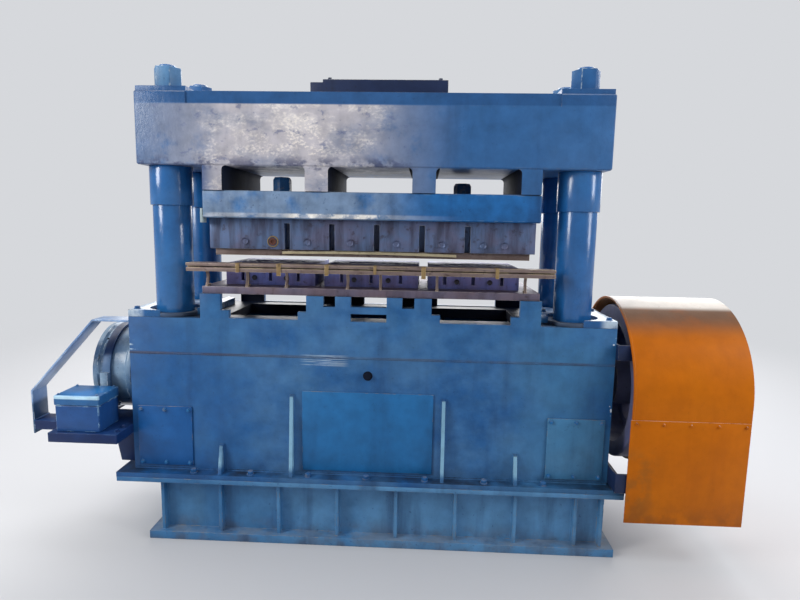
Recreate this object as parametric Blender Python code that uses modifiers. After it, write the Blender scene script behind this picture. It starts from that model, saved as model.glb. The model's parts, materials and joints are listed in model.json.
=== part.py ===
# Four-column underdrive press: an eccentric shaft in the base pulls the
# upper crosshead down on four tie columns, over a bed of die blocks.
# Metres, +Z up, +X to the right of the operator, +Y to the rear.
# The origin is on the floor, under the middle of the plinth.

import math

import bmesh
import bpy
from mathutils import Matrix, Vector

# Clearances
SEAT = 0.0003            # between two pieces that touch
RUNNING = 0.0009         # radial, shafts and columns in their bushes
GUARD_GAP = 0.035        # between a turning wheel and its guard

# Plinth and base, a welded box on a ribbed foot
BED_WIDTH = 2.27
BED_DEPTH = 0.62
BED_WALL = 0.030
BED_TOP_PLATE = 0.05
SHOULDER_Z = 1.09        # top of the bed at its four corners
FOOT_PLATE = 0.04
FOOT_OVERHANG = 0.04
PLINTH_TOP_Z = 0.322
FLANGE = 0.0225          # the plinth's top plate and the base's foot, each
FLANGE_OVERHANG = 0.062
PLINTH_SETBACK = 0.02    # from the bed's face and right end to the plinth's plates
PLINTH_LEFT_INSET = 0.141  # from the bed's left end to the plinth's first rib
PLINTH_END_BAY = 0.121   # the short bay at the right end
FOOT_LEFT_OVERHANG = 0.063
RIB = 0.016
PLINTH_RIBS = 8
TALL_RIB_X = 0.358
TALL_RIB_TOP_Z = 0.745
SHORT_RIB_TOP_Z = 0.49
RIB_FOOT = 0.052         # how far a rib stands out at its foot
RIB_HEAD = 0.018         # and at its sloped head
WEB_FOOT_Z = 0.60        # inner webs end above the lower yoke
COLUMN_INSET = (0.178, 0.12)  # column axes from the bed's ends and faces

# Raised wall between the columns, cut away for the scrap chutes
WALL_BERTH = 0.167       # from a column's axis to the raised wall's end
RAISED_Z = 1.207
WALL_LAND = 0.096        # left standing outside a chute
BLOCK_LAND = 0.079       # and between a chute and its slot
CHUTE_STEP = 0.0395
CHUTE_STEP_Z = 1.131
CHUTE_FLOOR_Z = 1.094
SLOT_X = 0.183
SLOT_WIDE = 0.056
SLOT_FLOOR_Z = 1.158
MIDDLE_WIDE = 0.167
MIDDLE_FLOOR_Z = 1.160
MIDDLE_WINDOW = (1.092, 1.128)
OPENING_MARGIN = (0.09, 0.12)  # round the opening in the bed plate

# Columns and crosshead
COLUMN_R = 0.0875
COLUMN_SHANK_R = 0.070   # inside the base
COLUMN_STUD_R = 0.0375   # through the crosshead
COLUMN_FOOT_R = 0.045    # through the yoke
STUD_ABOVE_NUT = 0.012
NUT_ACROSS = 0.112
NUT_HEIGHT = 0.100
COLLAR_R = 0.097
COLLAR_LENGTH = 0.180
HEAD_REACH = (0.108, 0.12)  # past the column axes
HEAD_Z = (1.793, 2.116)
HEAD_BEVEL = 0.006
HEAD_PAD = 0.022         # raised corner pads under the nuts
HEAD_PAD_WIDTH = 0.235
HEAD_REBATE = (0.006, 0.055)
LEG_INSET = 0.30         # from the crosshead's ends to its outer legs
END_LEG = 0.09
INNER_LEG = 0.105
WINDOW_CORNER = 0.018
BEAM_TOP_Z = 1.683
BEAM_THICK = 0.125
BEAM_LIP = 0.005         # past the outer legs
BEAM_SETBACK = 0.01      # behind the crosshead's face
CROWN_SIZE = (0.655, 0.30, 0.102)
CROWN_PLACE = (0.0175, 0.05)
CROWN_STEP = (0.06, 0.014)

# Tooling
DIE_GAP = 0.040          # stock space with the ram at the bottom
DIE_TOP_Z = 1.345
BOLSTER_THICK = 0.034
BOLSTER_INSET = 0.01
DIE_MARGIN = (0.08, 0.10)  # from the bolster's edges to the die blocks
DIE_GROOVE = (0.016, 0.045)
DIE_SPACING = 0.045
MIDDLE_DIE_WIDTH = 0.45
UPPER_INSET = (0.01, 0.06)  # from the beam's edges to the upper die
UPPER_SHOE = 0.020
UPPER_SLOTS = 5
UPPER_SLOT_PITCH = 0.2105
UPPER_SLOT_SHIFT = 0.028  # the row of slots sits off centre
UPPER_SLOT = (0.026, 0.06)
STRIPPER_THICK = 0.030
STRIPPER_INSET = 0.02
STRIP_ENDS = (0.34, 0.36)  # the pale strip, from the upper die's ends
STRIP_BOW = 0.006
STRIP_SIZE = (0.010, 0.014)
RAIL_OVERHANG = 0.06
RAIL_FORWARD = 0.035     # in front of the bolster
RAIL_WIDTH = 0.073
RAIL_Z = 1.314
RAIL_THICK = 0.018
RAIL_CAP = 0.014
RAIL_CAP_GAP = 0.006
RAIL_LEG_SPOTS = (-0.974, -0.731, -0.494, -0.128, 0.067, 0.401, 0.917)  # of half a bolster
RAIL_LEG = 0.012
RAIL_LEG_THIN = 0.014

# Drive
SHAFT_Z = 0.775
SHAFT_R = 0.075
JOURNAL_R = 0.065
SHAFT_PROUD = (0.045, 0.06)  # past the drum and past the flywheel
THROW = 0.0125           # half of the stroke
ECCENTRIC_R = 0.13
ECCENTRIC_WIDTH = 0.10
ECCENTRIC_BERTH = 0.337  # from a column's axis to the rod's
STRAP_CLEARANCE = 0.0205 # the strap is the drive's open pivot
STRAP_WALL = 0.042
WRIST_Z = 0.45
WRIST_R = 0.035
WRIST_EYE_R = 0.065
ROD_NECK = 0.09
ROD_SIDE_GAP = 0.006
YOKE_Z = (0.40, 0.50)
YOKE_REACH = (0.093, 0.075)  # past the column axes
YOKE_SLOT_DEPTH = 0.30
YOKE_BRIDGE = 0.22       # from a rod's axis to the window in the middle
YOKE_RAIL = 0.125
WRIST_PIN_LENGTH = 0.26
BEARING_R = 0.155
BEARING_FLANGE = 0.030
BEARING_SPIGOT_R = 0.10
BEARING_LENGTH = 0.075
BUSH_R = 0.105
BUSH_FLANGE_R = 0.118
BUSH_FLANGE = 0.018
BUSH_LENGTH = 0.13
BED_PAD_THICK = 0.034
BED_PAD_CORNER = (0.20, 0.13)

DRUM_OFFSET = 0.05       # from the bed's left end
DRUM_WIDTH = 0.19
DRUM_R = 0.225
DRUM_RIM = 0.022
DRUM_WEB = 0.03
DRUM_HUB_R = 0.11
BAND_GAP = 0.004
BAND_THICK = 0.012
BAND_WIDTH = 0.075
BAND_LUG = (0.004, 0.026)  # its thickness inside and outside the band's back

FLYWHEEL_OFFSET = 0.08   # from the bed's right end
FLYWHEEL_WIDTH = 0.325
FLYWHEEL_R = 0.385
FLYWHEEL_RIM = 0.075
FLYWHEEL_WEB = 0.055
FLYWHEEL_HUB_R = 0.125
FLYWHEEL_HUB_OUT = 0.02
FLYWHEEL_HOLES = 6
FLYWHEEL_HOLE_R = 0.055

# Guards, shelf and box
GUARD_SIDES = (0.027, 0.165)  # past the flywheel, inner and outer side
GUARD_SKIN = 0.005
GUARD_FOOT_Z = 0.22
GUARD_REAR_ANGLE = 38.0  # degrees above the axle where the rear ends
GUARD_HATCH_R = 0.14
STAY_THICK = 0.012
SHELF_LENGTH = 0.325
SHELF_FORWARD = 0.15     # in front of the bed's face
SHELF_BACK = 0.01
SHELF_Z = (0.520, 0.565)
SHELF_GUSSET = (0.105, 0.15)
SHELF_GUSSET_TOE = 0.075
SHELF_GUSSET_INSET = (0.025, 0.07)  # from the bed's faces
HOOD_LENGTH = 0.498
HOOD_ROOF = 0.177        # its level part, from the bed's end
HOOD_PROUD = 0.002
HOOD_TOP_Z = 1.071
HOOD_EAVES_Z = 0.715
HOOD_FOOT_Z = 0.50
HOOD_SKIN = 0.008
HOOD_DEPTH = 0.105
BOX_WIDTH = 0.205
BOX_INSET = (0.03, 0.02)  # from the shelf's corner
BOX_CLEARANCE = 0.016    # from the lug of the brake band
BOX_TOP_Z = 0.690
LID_TOP_Z = 0.737
LID_OVERHANG = 0.004
COVER_THICK = 0.006
PANEL_MARGIN = 0.048     # from a tall rib to the panel
PANEL_Z = (0.365, 0.755)
INSPECTION_INSET = 0.16  # from the bed's end to a cover's middle
INSPECTION_SIZE = (0.264, 0.295)
INSPECTION_Z = 0.512
SHORT_RIB_OFFSET = 0.275  # from a cover's middle

# Motor behind the base
MOTOR_BEHIND = 0.29      # its axle behind the bed
MOTOR_Z = 0.655
MOTOR_LENGTH = 0.355
MOTOR_INSET = 0.02       # from the bed's right end
MOTOR_R = 0.118
MOTOR_BELL = 0.07
MOTOR_FINS = 12
MOTOR_FIN = 0.010
MOTOR_FOOT = (0.26, 0.06)
MOTOR_FOOT_Y = 0.095
COWL_LENGTH = 0.07
COWL_ROUND = (0.03, 0.02)
MOTOR_SHELF_MARGIN = (0.025, 0.01)
MOTOR_SHELF_Z = 0.500
MOTOR_PLATE = 0.020
MOTOR_SHELF_REACH = 0.49
BELT_OFFSET = 0.07       # from the flywheel's inner side
BELT_WIDTH = 0.12
BELT_THICK = 0.011
PULLEY_MARGIN = 0.015
PULLEY_R = 0.090
PULLEY_SHAFT_R = 0.021
TERMINAL_BOX = (0.13, 0.11, 0.07)

# Worked out from the driving dimensions: the bed, its columns and the crosshead
BED_HALF = BED_WIDTH / 2
FACE_Y = -BED_DEPTH / 2
BASE_FOOT_Z = PLINTH_TOP_Z + SEAT
FLANGE_TOP_Z = BASE_FOOT_Z + FLANGE
COLUMN_X = BED_HALF - COLUMN_INSET[0]
COLUMN_Y = BED_DEPTH / 2 - COLUMN_INSET[1]
RAISED_WIDTH = 2 * (COLUMN_X - WALL_BERTH)
CHUTE_ENDS = (SLOT_X + SLOT_WIDE / 2 + BLOCK_LAND, RAISED_WIDTH / 2 - WALL_LAND)
CHUTE_X = (CHUTE_ENDS[0] + CHUTE_ENDS[1]) / 2
CHUTE_WIDE = CHUTE_ENDS[1] - CHUTE_ENDS[0]
CHUTE_NARROW = CHUTE_WIDE - 2 * CHUTE_STEP
BED_OPENING = (RAISED_WIDTH - 2 * OPENING_MARGIN[0], BED_DEPTH - 2 * OPENING_MARGIN[1])
INSPECTION_X = BED_HALF - INSPECTION_INSET
SHORT_RIB_X = INSPECTION_X - SHORT_RIB_OFFSET
PANEL_WIDTH = 2 * (TALL_RIB_X - PANEL_MARGIN)
HEAD_WIDTH = 2 * (COLUMN_X + HEAD_REACH[0])
HEAD_DEPTH = 2 * (COLUMN_Y + HEAD_REACH[1])
HEAD_PAD_TOP = HEAD_Z[1] + HEAD_PAD
LEG_WIDTH = HEAD_WIDTH - 2 * LEG_INSET
WINDOW_WIDTH = (LEG_WIDTH - 2 * END_LEG - 2 * INNER_LEG) / 3
WINDOW_PITCH = WINDOW_WIDTH + INNER_LEG
BEAM_WIDTH = LEG_WIDTH + 2 * BEAM_LIP
BEAM_DEPTH = HEAD_DEPTH - 2 * BEAM_SETBACK
BEAM_Z = (BEAM_TOP_Z - BEAM_THICK, BEAM_TOP_Z - SEAT)

# The tooling between them
BOLSTER_SIZE = (RAISED_WIDTH - 2 * BOLSTER_INSET, BED_DEPTH - 2 * BOLSTER_INSET)
BOLSTER_Z = (RAISED_Z + SEAT, RAISED_Z + SEAT + BOLSTER_THICK)
DIE_DEPTH = BOLSTER_SIZE[1] - 2 * DIE_MARGIN[1]
SIDE_DIE_ENDS = (MIDDLE_DIE_WIDTH / 2 + DIE_SPACING, BOLSTER_SIZE[0] / 2 - DIE_MARGIN[0])
SIDE_DIE_X = (SIDE_DIE_ENDS[0] + SIDE_DIE_ENDS[1]) / 2
SIDE_DIE_WIDTH = SIDE_DIE_ENDS[1] - SIDE_DIE_ENDS[0]
RAIL_LENGTH = BOLSTER_SIZE[0] + 2 * RAIL_OVERHANG
RAIL_FRONT = -BOLSTER_SIZE[1] / 2 - RAIL_FORWARD
RAIL_Y = (RAIL_FRONT, RAIL_FRONT + RAIL_WIDTH)
STRIPPER_Z = (DIE_TOP_Z + DIE_GAP, DIE_TOP_Z + DIE_GAP + STRIPPER_THICK)
UPPER_DIE_Z = (STRIPPER_Z[1] + SEAT, BEAM_Z[0] - SEAT)
UPPER_DIE_WIDTH = BEAM_WIDTH - 2 * UPPER_INSET[0]
UPPER_DIE_DEPTH = BEAM_DEPTH - 2 * UPPER_INSET[1]

# The drive, the guards, the shelf and the motor
ECCENTRIC_X = COLUMN_X - ECCENTRIC_BERTH
ECCENTRIC_Z = SHAFT_Z - THROW
STRAP_BORE_R = ECCENTRIC_R + THROW + STRAP_CLEARANCE
STRAP_R = STRAP_BORE_R + STRAP_WALL
YOKE_SIZE = (2 * (COLUMN_X + YOKE_REACH[0]), 2 * (COLUMN_Y + YOKE_REACH[1]))
YOKE_SLOT = (ECCENTRIC_WIDTH + 2 * ROD_SIDE_GAP, YOKE_SLOT_DEPTH)
YOKE_WINDOW = (2 * (ECCENTRIC_X - YOKE_BRIDGE), YOKE_SIZE[1] - 2 * YOKE_RAIL)
DRUM_X = (-BED_HALF - DRUM_OFFSET - DRUM_WIDTH, -BED_HALF - DRUM_OFFSET)
FLYWHEEL_X = (BED_HALF + FLYWHEEL_OFFSET, BED_HALF + FLYWHEEL_OFFSET + FLYWHEEL_WIDTH)
BAND_BORE = DRUM_R - DRUM_RIM / 2 + BAND_GAP
BAND_R = BAND_BORE + BAND_THICK
SHAFT_LEFT = DRUM_X[0] - SHAFT_PROUD[0]
SHAFT_RIGHT = FLYWHEEL_X[1] + SHAFT_PROUD[1]
GUARD_X = (FLYWHEEL_X[0] - GUARD_SIDES[0], FLYWHEEL_X[1] + GUARD_SIDES[1])
GUARD_R = FLYWHEEL_R + GUARD_GAP + GUARD_SKIN
SHELF_X = (-BED_HALF - SHELF_LENGTH, -BED_HALF - SEAT)
SHELF_Y = (FACE_Y - SHELF_FORWARD, -FACE_Y - SHELF_BACK)
SHELF_GUSSET_Y = (FACE_Y + SHELF_GUSSET_INSET[0], -FACE_Y - SHELF_GUSSET_INSET[1])
HOOD_LEFT_X = -BED_HALF - HOOD_LENGTH
HOOD_APEX_X = -BED_HALF - HOOD_ROOF
HOOD_Y = (FACE_Y - HOOD_PROUD, FACE_Y - HOOD_PROUD + HOOD_DEPTH)
BOX_X = (SHELF_X[0] + BOX_INSET[0], SHELF_X[0] + BOX_INSET[0] + BOX_WIDTH)
BOX_Y = (SHELF_Y[0] + BOX_INSET[1], -BAND_R - BAND_LUG[1] - BOX_CLEARANCE)
MOTOR_Y = -FACE_Y + MOTOR_BEHIND
MOTOR_X = (BED_HALF - MOTOR_INSET - MOTOR_LENGTH, BED_HALF - MOTOR_INSET)
MOTOR_SHELF_X = (MOTOR_X[0] - MOTOR_SHELF_MARGIN[0], MOTOR_X[1] + MOTOR_SHELF_MARGIN[1])
MOTOR_SHELF_END_Y = -FACE_Y + MOTOR_SHELF_REACH
BELT_X = (FLYWHEEL_X[0] + BELT_OFFSET, FLYWHEEL_X[0] + BELT_OFFSET + BELT_WIDTH)
PULLEY_X = (BELT_X[0] - PULLEY_MARGIN, BELT_X[1] + PULLEY_MARGIN)

ROUND = 20               # sides of a large round piece
SMALL_ROUND = 16
WHEEL_ROUND = 32

for old in list(bpy.data.objects):
    bpy.data.objects.remove(old, do_unlink=True)


def collection(name):
    made = bpy.data.collections.new(name)
    bpy.context.scene.collection.children.link(made)
    return made


parts = collection("four_column_press")
cutters = collection("cutters")


def finish(name, color, roughness, metallic=0.0):
    made = bpy.data.materials.new(name)
    made.use_nodes = True
    shader = made.node_tree.nodes["Principled BSDF"]
    shader.inputs["Base Color"].default_value = (*color, 1.0)
    shader.inputs["Roughness"].default_value = roughness
    shader.inputs["Metallic"].default_value = metallic
    return made


BLUE = (0.030, 0.120, 0.300)
DARK_BLUE = (0.012, 0.035, 0.110)
COLUMN_BLUE = (0.012, 0.085, 0.260)
ORANGE = (0.560, 0.150, 0.010)
DIE_BROWN = (0.110, 0.080, 0.085)
RAIL_BROWN = (0.200, 0.140, 0.110)
BARE_STEEL = (0.450, 0.440, 0.420)
IRON = (0.080, 0.080, 0.085)
BRONZE = (0.400, 0.240, 0.090)
RUBBER = (0.015, 0.015, 0.015)


def painted(name, color=BLUE):
    return finish(name, color, 0.45)


def metal(name, color=BARE_STEEL, roughness=0.35):
    return finish(name, color, roughness, 1.0)


def add(name, mesh, material=None, place=Matrix.Identity(4)):
    """Links a mesh as a named part, or as a cutter if it has no material."""
    made = bpy.data.objects.new(name, mesh)
    made.matrix_world = place
    if material is None:
        cutters.objects.link(made)
        made.hide_render = True
        made.display_type = "WIRE"
    else:
        parts.objects.link(made)
        mesh.materials.clear()
        mesh.materials.append(material)
    return made


def blocks_mesh(name, blocks):
    """One mesh of cubes, each stretched between two corners."""
    bm = bmesh.new()
    for low, high in blocks:
        low = Vector(low)
        size = Vector(high) - low
        cube = bmesh.ops.create_cube(bm, size=1.0)["verts"]
        bmesh.ops.scale(bm, vec=size, verts=cube)
        bmesh.ops.translate(bm, vec=low + size / 2, verts=cube)
    mesh = bpy.data.meshes.new(name)
    bm.to_mesh(mesh)
    bm.free()
    return mesh


def block(name, low, high, material=None):
    middle = (Vector(low) + Vector(high)) / 2
    mesh = blocks_mesh(name, [(Vector(low) - middle, Vector(high) - middle)])
    return add(name, mesh, material, Matrix.Translation(middle))


def round_bar(name, radius, length, place, material=None, sides=SMALL_ROUND):
    """A cylinder along its own Z, centred on its place."""
    bm = bmesh.new()
    bmesh.ops.create_cone(bm, cap_ends=True, segments=sides, radius1=radius,
                          radius2=radius, depth=length)
    mesh = bpy.data.meshes.new(name)
    bm.to_mesh(mesh)
    bm.free()
    made = add(name, mesh, material, place)
    if material is not None:
        smooth(made)
    return made


def at(x, y, z):
    return Matrix.Translation((x, y, z))


def along_x(x, y, z):
    """Own Z runs along +X: for shafts and wheels."""
    return at(x, y, z) @ Matrix.Rotation(math.pi / 2, 4, "Y")


def facing_front(x, y, z):
    """Own X, Y run along +X, +Z: for outlines seen from the front."""
    return at(x, y, z) @ Matrix.Rotation(math.pi / 2, 4, "X")


def facing_side(x, y, z):
    """Own X, Y run along +Y, +Z: for outlines seen from the side."""
    turn = Matrix(((0, 0, 1), (1, 0, 0), (0, 1, 0))).to_4x4()
    return at(x, y, z) @ turn


def smooth(made, angle=35):
    made.data.shade_smooth()
    made.data.set_sharp_from_angle(angle=math.radians(angle))


def circle(radius, sides=ROUND, middle=(0.0, 0.0)):
    step = 2 * math.pi / sides
    return [(middle[0] + radius * math.cos(step * k),
             middle[1] + radius * math.sin(step * k)) for k in range(sides)]


def arc(radius, start, end, steps, middle=(0.0, 0.0)):
    """Points on an arc between two angles in degrees, both ends included."""
    angles = [math.radians(start + (end - start) * k / steps) for k in range(steps + 1)]
    return [(middle[0] + radius * math.cos(a), middle[1] + radius * math.sin(a))
            for a in angles]


def outline(name, loops, thickness, place, material=None):
    """A flat plate: the first loop is its edge, the others are its holes."""
    curve = bpy.data.curves.new(name, "CURVE")
    curve.dimensions = "2D"
    curve.fill_mode = "BOTH"
    curve.extrude = thickness / 2
    for loop in loops:
        spline = curve.splines.new("POLY")
        spline.points.add(len(loop) - 1)
        for point, (x, y) in zip(spline.points, loop):
            point.co = (x, y, 0.0, 1.0)
        spline.use_cyclic_u = True
    drawn = bpy.data.objects.new(name + "_outline", curve)
    cutters.objects.link(drawn)
    view = bpy.context.evaluated_depsgraph_get()
    mesh = bpy.data.meshes.new_from_object(drawn.evaluated_get(view))
    bpy.data.objects.remove(drawn, do_unlink=True)
    bm = bmesh.new()
    bm.from_mesh(mesh)
    bmesh.ops.remove_doubles(bm, verts=bm.verts, dist=0.00001)
    bmesh.ops.recalc_face_normals(bm, faces=bm.faces)
    bm.to_mesh(mesh)
    bm.free()
    mesh.name = name
    return add(name, mesh, material, place)


def turned(name, profile, place, material=None, sides=ROUND, closed=False):
    """A profile of (radius, height), outer side top to bottom, spun round Z."""
    mesh = bpy.data.meshes.new(name)
    last = len(profile) - 1
    edges = [(k, k + 1) for k in range(last)]
    if closed:
        edges.append((last, 0))
    mesh.from_pydata([(r, 0.0, z) for r, z in profile], edges, [])
    made = add(name, mesh, material, place)
    spin = made.modifiers.new("Spin", "SCREW")
    spin.axis = "Z"
    spin.steps = sides
    spin.render_steps = sides
    spin.use_merge_vertices = True
    spin.merge_threshold = 0.00005
    return made


def apply_modifiers(made):
    """Bakes a piece's modifiers into its mesh, so that it can be shared."""
    view = bpy.context.evaluated_depsgraph_get()
    mesh = bpy.data.meshes.new_from_object(made.evaluated_get(view))
    mesh.name = made.name
    made.modifiers.clear()
    made.data = mesh
    return made


def ring_profile(bore, radius, low, high):
    return [(bore, high), (radius, high), (radius, low), (bore, low)]


def soften(made, width, segments=1):
    edge = made.modifiers.new("Edges", "BEVEL")
    edge.width = width
    edge.segments = segments
    edge.limit_method = "ANGLE"
    edge.angle_limit = math.radians(40)
    return made


def boolean(made, operation, tool, itself=False):
    step = made.modifiers.new(tool.name, "BOOLEAN")
    step.operation = operation
    step.object = tool
    step.solver = "EXACT"
    step.use_self = itself
    return made


def cut(made, tool):
    return boolean(made, "DIFFERENCE", tool)


def weld(made, tool):
    return boolean(made, "UNION", tool)


def both_sides(*values):
    """Each value and its opposite, from left to right."""
    return sorted([-v for v in values] + list(values))


def column_places():
    return [(x, y) for y in (-COLUMN_Y, COLUMN_Y) for x in (-COLUMN_X, COLUMN_X)]


def plinth():
    """Foot plate, box and top flange, with ribs standing in the pockets."""
    flange_x = BED_HALF + FLANGE_OVERHANG
    flange_y = BED_DEPTH / 2 + FLANGE_OVERHANG
    foot_y = BED_DEPTH / 2 + FOOT_OVERHANG
    plate_y = BED_DEPTH / 2 - PLINTH_SETBACK
    rib_y = BED_DEPTH / 2 + FOOT_OVERHANG / 2
    flange_z = PLINTH_TOP_Z - FLANGE
    # Its left end stands in under the bed, its right end nearly reaches the bed's
    left = -BED_HALF + PLINTH_LEFT_INSET
    right = BED_HALF - PLINTH_SETBACK
    made = block("plinth", (left - FOOT_LEFT_OVERHANG, -foot_y, 0),
                 (BED_HALF + FOOT_OVERHANG, foot_y, FOOT_PLATE), painted("plinth_blue"))
    weld(made, block("plinth_box", (left, -plate_y, FOOT_PLATE / 2),
                     (right, plate_y, PLINTH_TOP_Z - FLANGE / 2)))
    weld(made, block("plinth_flange", (-flange_x, -flange_y, flange_z),
                     (flange_x, flange_y, PLINTH_TOP_Z)))
    low = FOOT_PLATE - RIB / 2
    high = flange_z + RIB / 2
    pitch = (right - PLINTH_END_BAY - left) / (PLINTH_RIBS - 1)
    rib_places = [left + pitch * k for k in range(PLINTH_RIBS)] + [right]
    across = [((x - RIB / 2, -rib_y, low), (x + RIB / 2, rib_y, high)) for x in rib_places]
    weld(made, add("plinth_cross_ribs", blocks_mesh("plinth_cross_ribs", across)))
    along = [((left - FOOT_OVERHANG, y - RIB / 2, low), (right + FOOT_OVERHANG, y + RIB / 2, high))
             for y in both_sides(plate_y * 0.5)]
    weld(made, add("plinth_side_ribs", blocks_mesh("plinth_side_ribs", along)))
    return made


def notch(x, width, floor, ceiling):
    return [(x - width / 2, floor), (x + width / 2, floor), (x + width / 2, ceiling),
            (x - width / 2, ceiling)]


def wall_notches():
    """The cut-outs in the raised walls, front and rear in one go."""
    above = RAISED_Z + 0.02
    loops = [notch(x, SLOT_WIDE, SLOT_FLOOR_Z, above) for x in both_sides(SLOT_X)]
    loops.append(notch(0.0, MIDDLE_WIDE, MIDDLE_FLOOR_Z, above))
    loops.append(notch(0.0, MIDDLE_WIDE, *MIDDLE_WINDOW))
    wide, narrow = CHUTE_WIDE / 2, CHUTE_NARROW / 2
    for x in both_sides(CHUTE_X):
        loops.append([(x - wide, above), (x - wide, CHUTE_STEP_Z), (x - narrow, CHUTE_STEP_Z),
                      (x - narrow, CHUTE_FLOOR_Z), (x + narrow, CHUTE_FLOOR_Z),
                      (x + narrow, CHUTE_STEP_Z), (x + wide, CHUTE_STEP_Z), (x + wide, above)])
    return outline("wall_notches", loops, BED_DEPTH * 1.1, facing_front(0, 0, 0))


def rib_outline(head_z):
    """A stiffener seen from the side: deep at its foot, sloped at its head."""
    foot = FLANGE_TOP_Z - FLANGE / 2
    back = -BED_WALL / 2
    return [(back, foot), (RIB_FOOT, foot), (RIB_HEAD, head_z - RIB_HEAD), (back, head_z)]


def base_frame():
    """The welded base: foot flange, box, bed plate, raised walls and ribs."""
    flange_x = BED_HALF + FLANGE_OVERHANG
    flange_y = BED_DEPTH / 2 + FLANGE_OVERHANG
    inner_x = BED_HALF - BED_WALL
    inner_y = BED_DEPTH / 2 - BED_WALL
    made = block("base_frame", (-BED_HALF, FACE_Y, BASE_FOOT_Z),
                 (BED_HALF, -FACE_Y, SHOULDER_Z), painted("base_blue"))
    weld(made, block("base_foot", (-flange_x, -flange_y, BASE_FOOT_Z),
                     (flange_x, flange_y, FLANGE_TOP_Z)))
    walls = [((-RAISED_WIDTH / 2, min(a, b), SHOULDER_Z - BED_WALL / 2),
              (RAISED_WIDTH / 2, max(a, b), RAISED_Z))
             for a, b in ((FACE_Y, FACE_Y + BED_WALL), (-FACE_Y, -FACE_Y - BED_WALL))]
    weld(made, add("raised_walls", blocks_mesh("raised_walls", walls)))
    for x, head_z in ((TALL_RIB_X, TALL_RIB_TOP_Z), (SHORT_RIB_X, SHORT_RIB_TOP_Z)):
        for side_x in both_sides(x):
            front = facing_side(side_x, FACE_Y, 0) @ Matrix.Rotation(math.pi, 4, "Y")
            rear = facing_side(side_x, -FACE_Y, 0)
            for place in (front, rear):
                weld(made, outline("rib", [rib_outline(head_z)], RIB, place))
    cavity = block("cavity", (-inner_x, -inner_y, BASE_FOOT_Z - 0.01),
                   (inner_x, inner_y, SHOULDER_Z - BED_TOP_PLATE))
    cut(made, cavity)
    webs = [((x - RIB / 2, -inner_y - BED_WALL / 2, WEB_FOOT_Z),
             (x + RIB / 2, inner_y + BED_WALL / 2, SHOULDER_Z - BED_TOP_PLATE / 2))
            for x in both_sides(TALL_RIB_X)]
    weld(made, add("inner_webs", blocks_mesh("inner_webs", webs)))
    cut(made, block("bed_opening", (-BED_OPENING[0] / 2, -BED_OPENING[1] / 2, SHOULDER_Z - 0.08),
                    (BED_OPENING[0] / 2, BED_OPENING[1] / 2, SHOULDER_Z + 0.02)))
    cut(made, wall_notches())
    cut(made, round_bar("shaft_bores", BEARING_SPIGOT_R + SEAT, BED_WIDTH + 0.1,
                        along_x(0, 0, SHAFT_Z), sides=ROUND))
    for x, y in column_places():
        cut(made, round_bar("bush_bore", BUSH_R + SEAT, BUSH_LENGTH * 2.1,
                            at(x, y, SHOULDER_Z), sides=ROUND))
    return made


def front_covers():
    """Bolted plates: one panel in the middle, an inspection cover at each side."""
    y = FACE_Y - SEAT - COVER_THICK / 2
    half = PANEL_WIDTH / 2
    block("center_panel", (-half, y - COVER_THICK / 2, PANEL_Z[0]),
          (half, y + COVER_THICK / 2, PANEL_Z[1]), painted("panel_blue"))
    for side, name in ((-1, "left"), (1, "right")):
        x = side * INSPECTION_X
        width, height = INSPECTION_SIZE
        block(name + "_inspection_cover",
              (x - width / 2, y - COVER_THICK / 2, INSPECTION_Z - height / 2),
              (x + width / 2, y + COVER_THICK / 2, INSPECTION_Z + height / 2),
              painted(name + "_cover_blue"))


def guide_bushes():
    """Flanged bronze bushes that guide the columns through the bed plate."""
    bore = COLUMN_R + RUNNING
    top = SHOULDER_Z + SEAT
    profile = [(bore, top + BUSH_FLANGE), (BUSH_FLANGE_R, top + BUSH_FLANGE),
               (BUSH_FLANGE_R, top), (BUSH_R, top), (BUSH_R, top - BUSH_LENGTH),
               (bore, top - BUSH_LENGTH)]
    first = apply_modifiers(turned("guide_bush_1", profile, at(0, 0, 0),
                                   metal("bush_bronze", BRONZE), closed=True))
    first.location = (*column_places()[0], 0)
    smooth(first)
    for number, (x, y) in enumerate(column_places()[1:], start=2):
        twin = first.copy()
        twin.name = f"guide_bush_{number}"
        twin.location = (x, y, 0)
        parts.objects.link(twin)


def bed_pads():
    """Machined pads on the bed's shoulders, cleared round both bushes."""
    inner = RAISED_WIDTH / 2 + SEAT
    deep = BED_DEPTH / 2
    cut_x, cut_y = BED_PAD_CORNER
    middle = COLUMN_X
    z = SHOULDER_Z + SEAT + BED_PAD_THICK / 2
    hole = BUSH_FLANGE_R + SEAT
    edge = [(inner + cut_x, -deep), (BED_HALF, -deep), (BED_HALF, deep), (inner + cut_x, deep),
            (inner, deep - cut_y), (inner, -deep + cut_y)]
    # The front and rear notches leave the column feet in view
    for side, name in ((-1, "left"), (1, "right")):
        place = at(0, 0, z)
        loop = [(side * x, y) for x, y in edge]
        made = outline(name + "_bed_pad", [loop], BED_PAD_THICK, place, painted(name + "_pad_blue"))
        for y in both_sides(COLUMN_Y):
            cut(made, round_bar("pad_hole", hole, BED_PAD_THICK * 3, at(side * middle, y, z),
                                sides=ROUND))


def main_bearings():
    """Flanged housings bolted over the shaft bores in the base's end walls."""
    bore = JOURNAL_R + RUNNING
    seat = BED_HALF + SEAT
    profile = [(bore, seat + BEARING_FLANGE), (BEARING_R * 0.72, seat + BEARING_FLANGE),
               (BEARING_R, seat + BEARING_FLANGE * 0.6), (BEARING_R, seat),
               (BEARING_SPIGOT_R, seat), (BEARING_SPIGOT_R, seat - BEARING_LENGTH),
               (bore, seat - BEARING_LENGTH)]
    for side, name in ((1, "right"), (-1, "left")):
        place = along_x(0, 0, SHAFT_Z)
        if side < 0:
            place = place @ Matrix.Rotation(math.pi, 4, "X")
        turned(name + "_main_bearing", profile, place, metal(name + "_bearing_iron", IRON, 0.5),
               closed=True)


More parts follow.
